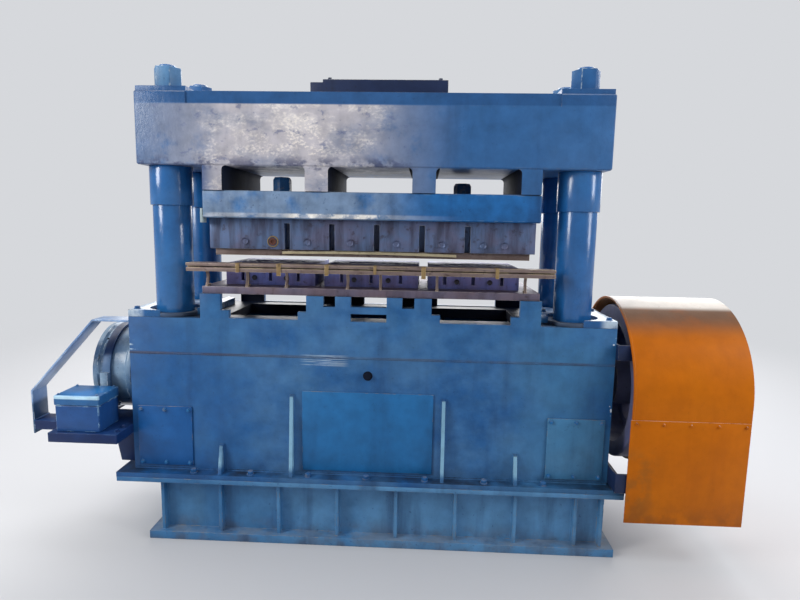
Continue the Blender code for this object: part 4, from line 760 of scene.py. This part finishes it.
def joined(*pieces):
    """Several bmeshes as one."""
    whole = bmesh.new()
    for piece in pieces:
        carrier = bpy.data.meshes.new("carrier")
        piece.to_mesh(carrier)
        piece.free()
        whole.from_mesh(carrier)
        bpy.data.meshes.remove(carrier)
    return whole


# %% [markdown]
# ## The brake
# The drum has two rows of slots in its groove, beside the band. After the section is
# spun, flat cuts split the groove's faces, the faces between two cuts and two angles are
# pushed in, and the pits get the black finish as painted shade. The band is a strip over
# the drum, bolted to the shelf by a lug at each end.

# %% Slotted brake drum
SLOT_ROWS = ((-1.352, -1.325), (-1.284, -1.262))
SLOT_TURN = (10, 40)     # degrees, repeated every 60
SLOT_DEPTH = 0.008
GROOVE_R = 0.214
drum_bm, drum_middle = section("brake_drum", "X")
spun(drum_bm, drum_middle, "X", 72)
for row in SLOT_ROWS:
    for x in row:
        whole_drum = drum_bm.verts[:] + drum_bm.edges[:] + drum_bm.faces[:]
        bmesh.ops.bisect_plane(drum_bm, geom=whole_drum, plane_co=(x, 0, 0),
                               plane_no=(1, 0, 0))
pits = []
for face in drum_bm.faces:
    spot = face.calc_center_median() - drum_middle
    turn = math.degrees(math.atan2(spot.z, spot.y)) % 60
    if math.hypot(spot.y, spot.z) > GROOVE_R - 0.004 and SLOT_TURN[0] < turn < SLOT_TURN[1]:
        if any(low < spot.x + drum_middle.x < high for low, high in SLOT_ROWS):
            pits.append(face)
sunk = bmesh.ops.extrude_face_region(drum_bm, geom=pits)["geom"]
share = 1 - SLOT_DEPTH / GROOVE_R
bmesh.ops.scale(drum_bm, vec=(1, share, share), space=Matrix.Translation(-drum_middle),
                verts=verts_of(sunk))
for item in sunk:
    if isinstance(item, bmesh.types.BMFace):
        item.material_index = 1
round_edges(drum_bm, 0.0015)
drum = stand_in("brake_drum", drum_bm, "drum_enamel")
drum.data.materials.append(FINISHES["shade_and_oil_black"][0])
print("slot faces:", len(pits), "dark:", sum(f.material_index for f in drum.data.polygons))

# %% [markdown]
# The flywheel has a heavy rim on a thin web with six lightening holes. Rim and hub are
# lathe work. The web is a flat plate, because a plate can be drawn with its holes.

# %% Flywheel
wheel_low, wheel_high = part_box("flywheel")
AXLE = Vector((0.0, (wheel_low.y + wheel_high.y) / 2, (wheel_low.z + wheel_high.z) / 2))
WHEEL_R = (wheel_high.z - wheel_low.z) / 2
RIM_BORE = WHEEL_R - 0.075
RIM_EDGE = 0.006
HUB_R = 0.125
SHAFT_BORE = 0.0659
HUB_PROUD = 0.02
WEB_THICK = 0.055
WEB_OVERLAP = 0.004
HOLE_R, HOLES_AT_R = 0.055, 0.2175
left, right = wheel_low.x, wheel_high.x - HUB_PROUD
rim = lathe([(left, RIM_BORE), (left, WHEEL_R - RIM_EDGE), (left + RIM_EDGE, WHEEL_R),
             (right - RIM_EDGE, WHEEL_R), (right, WHEEL_R - RIM_EDGE), (right, RIM_BORE)],
            AXLE, 120, 0.003)
hub = lathe([(left, SHAFT_BORE), (left, HUB_R), (right + HUB_PROUD, HUB_R),
             (right + HUB_PROUD, SHAFT_BORE)], AXLE, 64, 0.004)
holes = [circle(HOLE_R, 40, spot) for spot in circle(HOLES_AT_R, 6)]
web = plate([circle(RIM_BORE + WEB_OVERLAP, 120), circle(HUB_R - WEB_OVERLAP, 64)] + holes,
            WEB_THICK, ((left + right) / 2, 0, AXLE.z), 0.003, 60)
stand_in("flywheel", joined(rim, hub, web), "wheel_enamel")

# %% [markdown]
# The guard is rolled sheet: a half round over the wheel that runs straight down in
# front. Its open edge is rolled round a wire, a lower sheet overlaps the upper one in
# front, and a plate with a hatch closes the far side.

# %% Flywheel guard
guard_low, guard_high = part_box("flywheel_guard")
GUARD_R = guard_high.z - AXLE.z
SKIN = 0.005
REAR_END = 38.0          # degrees round the axle, where the skin stops at the back
SEAM_Z = 0.703
HATCH_R = 0.14
WIRE_R = 0.0065
foot = guard_low.z - AXLE.z
outer = arc(GUARD_R, REAR_END, 180, 96) + [(-GUARD_R, foot)]
inner = arc(GUARD_R - SKIN, REAR_END, 180, 96) + [(SKIN - GUARD_R, foot)]
skin = plate([outer + inner[::-1]], guard_high.x - guard_low.x,
             ((guard_low.x + guard_high.x) / 2, 0, AXLE.z))
half_skin = GUARD_R - SKIN / 2
side_edge = arc(half_skin, REAR_END, 180, 96)
side_edge += [(-half_skin, foot), (GUARD_R * 0.42, foot),
              (half_skin * math.cos(math.radians(REAR_END)), -0.02)]
side_plate = plate([side_edge, circle(HATCH_R, 64)], SKIN,
                   (guard_high.x - SKIN / 2, 0, AXLE.z), 0.001, 60)

hem = bmesh.new()
hem_x = guard_low.x + 0.006
wire = bmesh.ops.create_circle(hem, segments=12, radius=WIRE_R, matrix=Matrix.Translation(
    (hem_x, SKIN - GUARD_R, AXLE.z)))["verts"]
wire_edges = list({edge for vert in wire for edge in vert.link_edges})
down = bmesh.ops.extrude_edge_only(hem, edges=wire_edges)
bmesh.ops.translate(hem, vec=(0, 0, foot + 0.002), verts=verts_of(down["geom"]))
bmesh.ops.spin(hem, geom=wire_edges, cent=(hem_x, 0, AXLE.z), axis=(1, 0, 0), steps=72,
               angle=-math.radians(180 - REAR_END), use_duplicate=False)
bmesh.ops.remove_doubles(hem, verts=hem.verts, dist=0.0001)
open_ends = [edge for edge in hem.edges if edge.is_boundary]
bmesh.ops.holes_fill(hem, edges=open_ends, sides=0)
bmesh.ops.recalc_face_normals(hem, faces=hem.faces)

apron = brick((guard_low.x - 0.006, -GUARD_R - 0.003, guard_low.z),
              (guard_high.x - 0.002, -GUARD_R, SEAM_Z), 0.001)
stand_in("flywheel_guard", joined(skin, side_plate, hem, apron), "orange_enamel")

# %% Brake band and its lugs
BAND_INNER_R, BAND_OUTER_R = 0.218, 0.230
BAND_X, BAND_WIDTH = -1.3045, 0.038
LUG_FOOT_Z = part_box("brake_band")[0].z
LUG_FOOT_TOP = LUG_FOOT_Z + 0.018
strap = plate([arc(BAND_OUTER_R, -50, 230, 96) + arc(BAND_INNER_R, 230, -50, 96)],
              BAND_WIDTH, (BAND_X, 0, AXLE.z), 0.001, 50)
stand_in("brake_band", strap, "band_enamel")
lugs = []
for half, inner, outer, top in ((0.019, 0.227, 0.252, AXLE.z + 0.02),
                                (0.045, 0.222, 0.256, LUG_FOOT_TOP)):
    for side in (-1, 1):
        near, far = sorted((side * inner, side * outer))
        lugs.append(brick((BAND_X - half, near, LUG_FOOT_Z), (BAND_X + half, far, top)))
finished("brake_band_lugs", joined(*lugs), "base", "drum_enamel")

# %% [markdown]
# The crankshaft is one forging. Two eccentric sheaves turn it into a press drive: each
# sheave sits off the shaft's middle by half the stroke.

# %% Crankshaft and wrist pins
shaft_low, shaft_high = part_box("crankshaft")
THROW = 0.0125
SHEAVE_X, SHEAVE_R, SHEAVE_HALF = 0.62, 0.13, 0.05
JOURNAL_R, BODY_R, STEP_X = 0.065, 0.075, 1.04
shaft = lathe([(shaft_low.x, 0.0), (shaft_low.x, JOURNAL_R), (-STEP_X, JOURNAL_R),
               (-STEP_X, BODY_R), (STEP_X, BODY_R), (STEP_X, JOURNAL_R),
               (shaft_high.x, JOURNAL_R), (shaft_high.x, 0.0)], AXLE, 72, 0.003)
sheaves = [lathe(disc(x - SHEAVE_HALF, x + SHEAVE_HALF, SHEAVE_R),
                 AXLE - Vector((0, 0, THROW)), 96, 0.003) for x in (-SHEAVE_X, SHEAVE_X)]
stand_in("crankshaft", joined(shaft, *sheaves), "shaft_steel")
for node in ("left_wrist_pin", "right_wrist_pin"):
    low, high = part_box(node)
    pin = lathe(disc(low.x, high.x, (high.z - low.z) / 2), (low + high) / 2, 56, 0.002)
    stand_in(node, pin, "shaft_steel")

# %% [markdown]
# A set of four V-belts drives the wheel. Each belt is a loop of two arcs and two straight
# runs, drawn once round the wheel and the motor's pulley.

# %% V-belts
pulley_low, pulley_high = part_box("motor_pulley")
belt_low, belt_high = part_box("drive_belt")
MOTOR_AXLE = (pulley_low + pulley_high) / 2
PULLEY_R = 0.090
BELTS = 4
BELT_GROW = 0.0009
BELT_THICK = 0.011
BELT_GAP = 0.005
drop = MOTOR_AXLE - AXLE


def belt_loop(grow):
    """The way round wheel and pulley, at a height above them."""
    aim = math.degrees(math.atan2(drop.z, drop.y))
    lean = math.degrees(math.acos((WHEEL_R - PULLEY_R) / math.hypot(drop.y, drop.z)))
    return (arc(WHEEL_R + grow, aim + lean, aim + 360 - lean, 96)
            + arc(PULLEY_R + grow, aim - lean, aim + lean, 32, (drop.y, drop.z)))


pitch = (belt_high.x - belt_low.x) / BELTS
runs = [plate([belt_loop(BELT_GROW + BELT_THICK), belt_loop(BELT_GROW)], pitch - BELT_GAP,
              (belt_low.x + pitch * (k + 0.5), 0, AXLE.z), 0.002, 50, 1)
        for k in range(BELTS)]
stand_in("drive_belt", joined(*runs), "belt_rubber")

# %% [markdown]
# The motor is a foot-mounted one. Its body is a ring of thin cooling fins between two
# smooth end bells.

# %% Motor
motor_low, motor_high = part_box("motor")
motor_middle = (motor_low.x + motor_high.x) / 2
FINS = 40
FIN_TIP, FIN_ROOT, BELL_R = 0.127, 0.110, 0.114
BELL_LENGTH = 0.07
FOOT_X, FOOT_Y = 0.1, 0.095
fin_edge = []
for k in range(FINS):
    for share, radius in ((0.0, FIN_TIP), (0.3, FIN_TIP), (0.36, FIN_ROOT), (0.94, FIN_ROOT)):
        turn = 2 * math.pi * (k + share) / FINS
        fin_edge.append((radius * math.cos(turn), radius * math.sin(turn)))
fins = plate([fin_edge], motor_high.x - motor_low.x - 2 * BELL_LENGTH,
             (motor_middle, MOTOR_AXLE.y, MOTOR_AXLE.z))
bells = lathe([(motor_low.x, 0.0), (motor_low.x, BELL_R), (motor_high.x - 0.03, BELL_R),
               (motor_high.x, BELL_R * 0.7), (motor_high.x, 0.0)], MOTOR_AXLE, 72, 0.004)
feet = []
for side in (-1, 1):
    for end in (-1, 1):
        x, y = motor_middle + end * FOOT_X, MOTOR_AXLE.y + side * FOOT_Y
        feet.append(brick((x - 0.03, y - 0.03, motor_low.z),
                          (x + 0.03, y + 0.03, motor_low.z + 0.03), 0.003,
                          (0, -side * 0.015, 0.045)))
stand_in("motor", joined(fins, bells, *feet), "dark_enamel")

# %% [markdown]
# The nuts that hold the columns are large hexagons. Each is the solid's own outline with
# its corners cut back, as a turned chamfer leaves them.

# %% Column nuts
for number in range(1, 5):
    dressed(f"column_nut_{number}", "sheet_enamel", 0.004)

# %% [markdown]
# ## Fasteners
# Bolts tell the size of a machine. A head is a hexagon on a washer with its top edge cut
# back. Each group of bolts that holds one piece is a single mesh, and no two heads are
# turned alike.

# %% A bolt head, and groups of them
TURN = {"up": Matrix.Identity(4), "front": Matrix.Rotation(math.pi / 2, 4, "X"),
        "rear": Matrix.Rotation(-math.pi / 2, 4, "X"),
        "right": Matrix.Rotation(math.pi / 2, 4, "Y"),
        "left": Matrix.Rotation(-math.pi / 2, 4, "Y")}
WASHER = 0.003
HEAD_WEAR = 0.6


def cone(bm, place, start, end, sides, foot, top):
    """A cone or a cylinder along the place's own Z, from start to end."""
    return bmesh.ops.create_cone(bm, cap_ends=True, segments=sides, radius1=foot,
                                 radius2=top, depth=end - start,
                                 matrix=place @ Matrix.Translation((0, 0, (start + end) / 2)))


def bolts(name, spots, size, height, finish="blue_enamel", facing="up", body="base"):
    """size is across the flats; a head's own Z points away from the plate."""
    bm = bmesh.new()
    corner = size / math.sqrt(3)
    shoulder = WASHER + height * 0.8
    for number, spot in enumerate(spots):
        place = (Matrix.Translation(spot) @ TURN[facing]
                 @ Matrix.Rotation(math.radians(23 * number), 4, "Z"))
        cone(bm, place, 0, WASHER, 24, corner * 1.3, corner * 1.25)
        cone(bm, place, WASHER, shoulder, 6, corner, corner)
        cone(bm, place, shoulder, WASHER + height, 6, corner, corner * 0.82)
    mark = bm.faces.layers.float.new("edge")
    for face in bm.faces:
        face[mark] = HEAD_WEAR
    return finished(name, bm, body, finish)


def around(x, radius, count, first=0.0):
    """Places on a circle round the wheel's axle."""
    turns = [2 * math.pi * k / count + first for k in range(count)]
    return [(x, AXLE.y + radius * math.cos(t), AXLE.z + radius * math.sin(t)) for t in turns]


def corners(node, left, right, side):
    """Four places on top of a solid, set in from its edges."""
    low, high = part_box(node)
    return [(x, y, high.z) for x in (low.x + left, high.x - right)
            for y in (low.y + side, high.y - side)]


# %% Bolts of the base
FLANGE_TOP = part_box("plinth")[1].z + 0.0228
FLANGE_INSET = 0.028
COVER_INSET = 0.016
base_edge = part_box("base_frame")[1]
for facing, side in (("front", -1), ("rear", 1)):
    spots = [(x, side * (base_edge.y - FLANGE_INSET), FLANGE_TOP)
             for x in (-0.83, -0.555, -0.277, 0.0, 0.277, 0.555, 0.83)]
    bolts(facing + "_flange_bolts", spots, 0.024, 0.016)
for side, end in (("left", -1), ("right", 1)):
    spots = [(end * (base_edge.x - FLANGE_INSET), y, FLANGE_TOP) for y in (-0.18, 0.0, 0.18)]
    bolts(side + "_flange_bolts", spots, 0.024, 0.016)
    low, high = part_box(side + "_inspection_cover")
    spots = [(x, low.y, z) for z in (low.z + COVER_INSET, high.z - COVER_INSET)
             for x in (low.x + COVER_INSET, (low.x + high.x) / 2, high.x - COVER_INSET)]
    bolts(side + "_cover_bolts", spots, 0.013, 0.007, "panel_enamel", "front")
    outer_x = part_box(side + "_main_bearing")[0 if end < 0 else 1].x
    bolts(side + "_bearing_bolts", around(outer_x, 0.09, 6), 0.018, 0.010, "cast_iron", side)
    pad_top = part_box(side + "_bed_pad")[1].z
    spots = [(end * 1.105, y, pad_top) for y in (-0.28, 0.0, 0.28)]
    spots += [(end * 0.85, y, pad_top) for y in (-0.06, 0.06)]
    bolts(side + "_pad_bolts", spots, 0.020, 0.010)

# %% Bolts of the crosshead and the control box, and a lug on the beam
beam_low, beam_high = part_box("lower_beam")
bolts("beam_nuts", [(-0.44, -0.13, beam_high.z), (0.44, 0.13, beam_high.z)], 0.078, 0.070,
      body="ram")
lug = brick((beam_low.x - 0.012, beam_low.y + 0.002, 1.535),
            (beam_low.x, beam_low.y + 0.05, 1.600))
finished("beam_lug", lug, "ram", "lug_enamel")
bolts("lid_screws", corners("control_box_lid", 0.016, 0.016, 0.016), 0.009, 0.004,
      "sheet_enamel")
bolts("crown_bolts", corners("crown_plate", 0.09, 0.035, 0.03), 0.018, 0.010, "dark_enamel",
      body="ram")

# %% Bolts of the brake, the wheel, the guard and the motor
bolts("band_bolts", [(BAND_X + x, side * 0.239, LUG_FOOT_TOP) for x in (-0.033, 0.033)
                     for side in (-1, 1)], 0.014, 0.008, "dark_enamel")
bolts("drum_bolts", around(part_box("brake_drum")[0].x, 0.088, 6), 0.018, 0.010,
      "dark_enamel", "left", "crank")
bolts("wheel_bolts", around(wheel_high.x, 0.098, 8), 0.018, 0.010, "dark_enamel", "right",
      "wheel")
hood_low, hood_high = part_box("brake_hood")
bolts("hood_bolts", [(hood_low.x, hood_low.y + y, 0.543) for y in (0.03, 0.075)],
      0.016, 0.009, facing="left")
shelf_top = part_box("brake_shelf")[1].z
bolts("shelf_bolts", [(-1.155, y, shelf_top) for y in (-0.42, -0.36, 0.17, 0.25)],
      0.016, 0.009, "shelf_enamel")
bolts("oil_plug", [(0.0, -0.3105, 0.836)], 0.030, 0.012, "shade_and_oil_black", "front")
bolts("guard_hatch_screws", around(guard_high.x, 0.157, 8, 0.39), 0.013, 0.007,
      "orange_enamel", "right")
bolts("apron_screws", [(guard_low.x + 0.02 + 0.119 * k, -GUARD_R - 0.003, SEAM_Z - 0.018)
                       for k in range(5)], 0.010, 0.004, "orange_enamel", "front")
bolts("motor_bolts", [(motor_middle + end * FOOT_X, MOTOR_AXLE.y + side * 0.112,
                       motor_low.z + 0.030) for end in (-1, 1) for side in (-1, 1)],
      0.014, 0.012, "shaft_steel")
bolts("terminal_screws", corners("terminal_box", 0.012, 0.012, 0.012), 0.008, 0.004,
      "shaft_steel")

# %% [markdown]
# Socket screws hold the die sections. Their heads stand a little proud of the front
# face, with a hexagon socket that reads as a dark dot. A socket is made by insetting the
# head's top face and pushing it in.

# %% Socket screws
SCREW_SIDES = 24
SCREW_Z = 1.452


def socket_screw(bm, spot, facing, radius, height):
    place = Matrix.Translation(spot) @ TURN[facing]
    made = cone(bm, place, 0, height, SCREW_SIDES, radius, radius)["verts"]
    out = place.to_3x3() @ Vector((0, 0, 1))
    faces = {face for vert in made for face in vert.link_faces}
    top = [f for f in faces if len(f.verts) == SCREW_SIDES and f.normal.dot(out) > 0.9]
    bmesh.ops.inset_region(bm, faces=top, thickness=radius * 0.4, depth=0.0)
    bmesh.ops.translate(bm, vec=-out * height * 0.8,
                        verts=list({vert for face in top for vert in face.verts}))


die_low, die_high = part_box("upper_die")
bm = bmesh.new()
for x in (-0.593, -0.46, -0.299, -0.097, 0.118, 0.33, 0.52, 0.62):
    for side, facing in ((-1, "front"), (1, "rear")):
        socket_screw(bm, (x, side * die_high.y, SCREW_Z), facing, 0.016, 0.006)
finished("upper_die_screws", bm, "ram", "die_steel")

bm = bmesh.new()
for node in ("left_die", "center_die", "right_die"):
    low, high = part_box(node)
    for share in (0.32, 0.68):
        x = low.x + (high.x - low.x) * share
        for y, facing in ((low.y, "front"), (high.y, "rear")):
            socket_screw(bm, (x, y, low.z + 0.035), facing, 0.012, 0.005)
finished("lower_die_screws", bm, "base", "hole_steel")

# %% [markdown]
# ## Small parts that tell how it is used
# Thin bent clips hang over the feed rail and hold it to the dies. One upper screw is rusty
# and has a bright wear ring. A fan grille closes the motor's cowl, and an eyebolt lifts the
# motor.

# %% Rail clips
face_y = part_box("feed_rail")[0].y
rail_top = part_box("rail_cap")[1].z
CLIP = 0.0025
clips = []
for x, width, fall in ((-0.60, 0.008, 0.040), (-0.41, 0.010, 0.052), (-0.19, 0.009, 0.046),
                       (0.03, 0.007, 0.036), (0.25, 0.010, 0.052), (0.58, 0.008, 0.044)):
    lower = rail_top - fall
    for start_y, end_y, start_z, end_z in (
            (-CLIP - 0.001, -0.001, lower, rail_top + CLIP),
            (-CLIP - 0.001, 0.045, rail_top + 0.0002, rail_top + CLIP),
            (-0.008, -0.001, lower, lower + CLIP)):
        clips.append(brick((x - width, face_y + start_y, start_z),
                           (x + width, face_y + end_y, end_z), 0.0008))
finished("rail_clips", joined(*clips), "base", "clip_steel")

# %% Wear ring and rusty screw
worn_spot = (Matrix.Translation((-0.46, die_low.y, SCREW_Z))
             @ Matrix.Rotation(-math.pi / 2, 4, "Z"))
for name, finish, steps, profile in (
        ("screw_wear_ring", "clip_steel", 40,
         [(0.0, 0.021), (0.0, 0.027), (0.005, 0.025), (0.005, 0.022)]),
        ("rusty_screw", "rusty_steel", 32,
         [(0.0, 0.0), (0.0, 0.0165), (0.0075, 0.0165), (0.0075, 0.009), (0.003, 0.008),
          (0.003, 0.0)])):
    piece = lathe(profile, ORIGIN, steps)
    bmesh.ops.transform(piece, matrix=worn_spot, verts=piece.verts)
    finished(name, piece, "ram", finish)

# %% Fan grille and eyebolt
cowl_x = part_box("fan_cowl")[0].x
WIRE_HALF = 0.003
grille = [lathe([(cowl_x - 0.004, radius - WIRE_HALF), (cowl_x - 0.004, radius + WIRE_HALF),
                 (cowl_x + 0.002, radius + WIRE_HALF), (cowl_x + 0.002, radius - WIRE_HALF)],
                MOTOR_AXLE, 56) for radius in (0.018, 0.036, 0.054, 0.072, 0.090)]
for k in range(3):
    bar = brick((cowl_x - 0.003, -0.094, -0.004), (cowl_x + 0.002, 0.094, 0.004), 0.001)
    bmesh.ops.rotate(bar, cent=ORIGIN, matrix=Matrix.Rotation(k * math.pi / 3, 3, "X"),
                     verts=bar.verts)
    bmesh.ops.translate(bar, vec=(0, MOTOR_AXLE.y, MOTOR_AXLE.z), verts=bar.verts)
    grille.append(bar)
finished("fan_grille", joined(*grille), "base", "dark_enamel")

eye = lathe([(-0.005, 0.014), (-0.005, 0.024), (0.005, 0.024), (0.005, 0.014)], ORIGIN, 36,
            0.003)
bmesh.ops.translate(eye, vec=(motor_middle + 0.09, MOTOR_AXLE.y, motor_high.z + 0.012),
                    verts=eye.verts)
finished("motor_eyebolt", eye, "base", "shaft_steel")

# %% [markdown]
# ## Welds
# Ribs are welded on both sides. A bead is a thin bar laid in the corner, cut into short
# steps, with every step a little thicker or thinner than the last.

# %% A weld bead
BEAD_STEP = 0.007
BEAD_SWELL = 0.16
BEAD_WAVE = 640.0        # radians to the metre


def bead(start, end, radius=0.005):
    start, end = Vector(start), Vector(end)
    run = (end - start).normalized()
    length = (end - start).length
    bm = bmesh.new()
    cone(bm, Matrix.Translation(start) @ run.to_track_quat("Z", "Y").to_matrix().to_4x4(),
         0, length, 8, radius, radius)
    long_edges = [edge for edge in bm.edges if edge.calc_length() > length * 0.9]
    bmesh.ops.subdivide_edges(bm, edges=long_edges, cuts=max(2, int(length / BEAD_STEP)))
    for vert in bm.verts:
        along = (vert.co - start).dot(run)
        middle = start + run * along
        vert.co = middle + (vert.co - middle) * (1.0 + BEAD_SWELL * math.sin(along * BEAD_WAVE))
    return bm


# %% Welds of the ribs
RIB_HALF = 0.009
plinth_y = 0.29 + 0.001
front_y = abs(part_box("center_panel")[1].y) + 0.001
beads = [bead((x, side * plinth_y, 0.044), (x, side * plinth_y, 0.296))
         for rib in range(8) for side in (-1, 1)
         for x in ((rib - 3.5) * 0.284 - RIB_HALF, (rib - 3.5) * 0.284 + RIB_HALF)]
finished("plinth_welds", joined(*beads), "base", "plinth_enamel")

beads = [bead((x, side * front_y, FLANGE_TOP + 0.002), (x, side * front_y, head))
         for rib_x, head in ((0.358, 0.735), (0.70, 0.48)) for end in (-1, 1)
         for side in (-1, 1) for x in (end * rib_x - RIB_HALF, end * rib_x + RIB_HALF)]
beads += [bead((-1.13, side * front_y, FLANGE_TOP + 0.001),
               (1.13, side * front_y, FLANGE_TOP + 0.001), 0.006) for side in (-1, 1)]
finished("base_welds", joined(*beads), "base", "base_enamel")

# %% The long seam of the base and the welds of the brake end
BASE_END_X = 1.135
seams = [bead((-BASE_END_X, side * 0.3095, 0.9185), (BASE_END_X, side * 0.3095, 0.9185),
              0.0035) for side in (-1, 1)]
seams += [bead((-BASE_END_X - 0.001, y, 0.375), (-BASE_END_X - 0.001, y, 0.515), 0.004)
          for rib_y in (-0.285, 0.24) for y in (rib_y - RIB_HALF, rib_y + RIB_HALF)]
seams.append(bead((hood_low.x + 0.01, hood_high.y, 0.566),
                  (hood_low.x + 0.01, hood_low.y, 0.566), 0.004))
finished("seam_welds", joined(*seams), "base", "base_enamel")
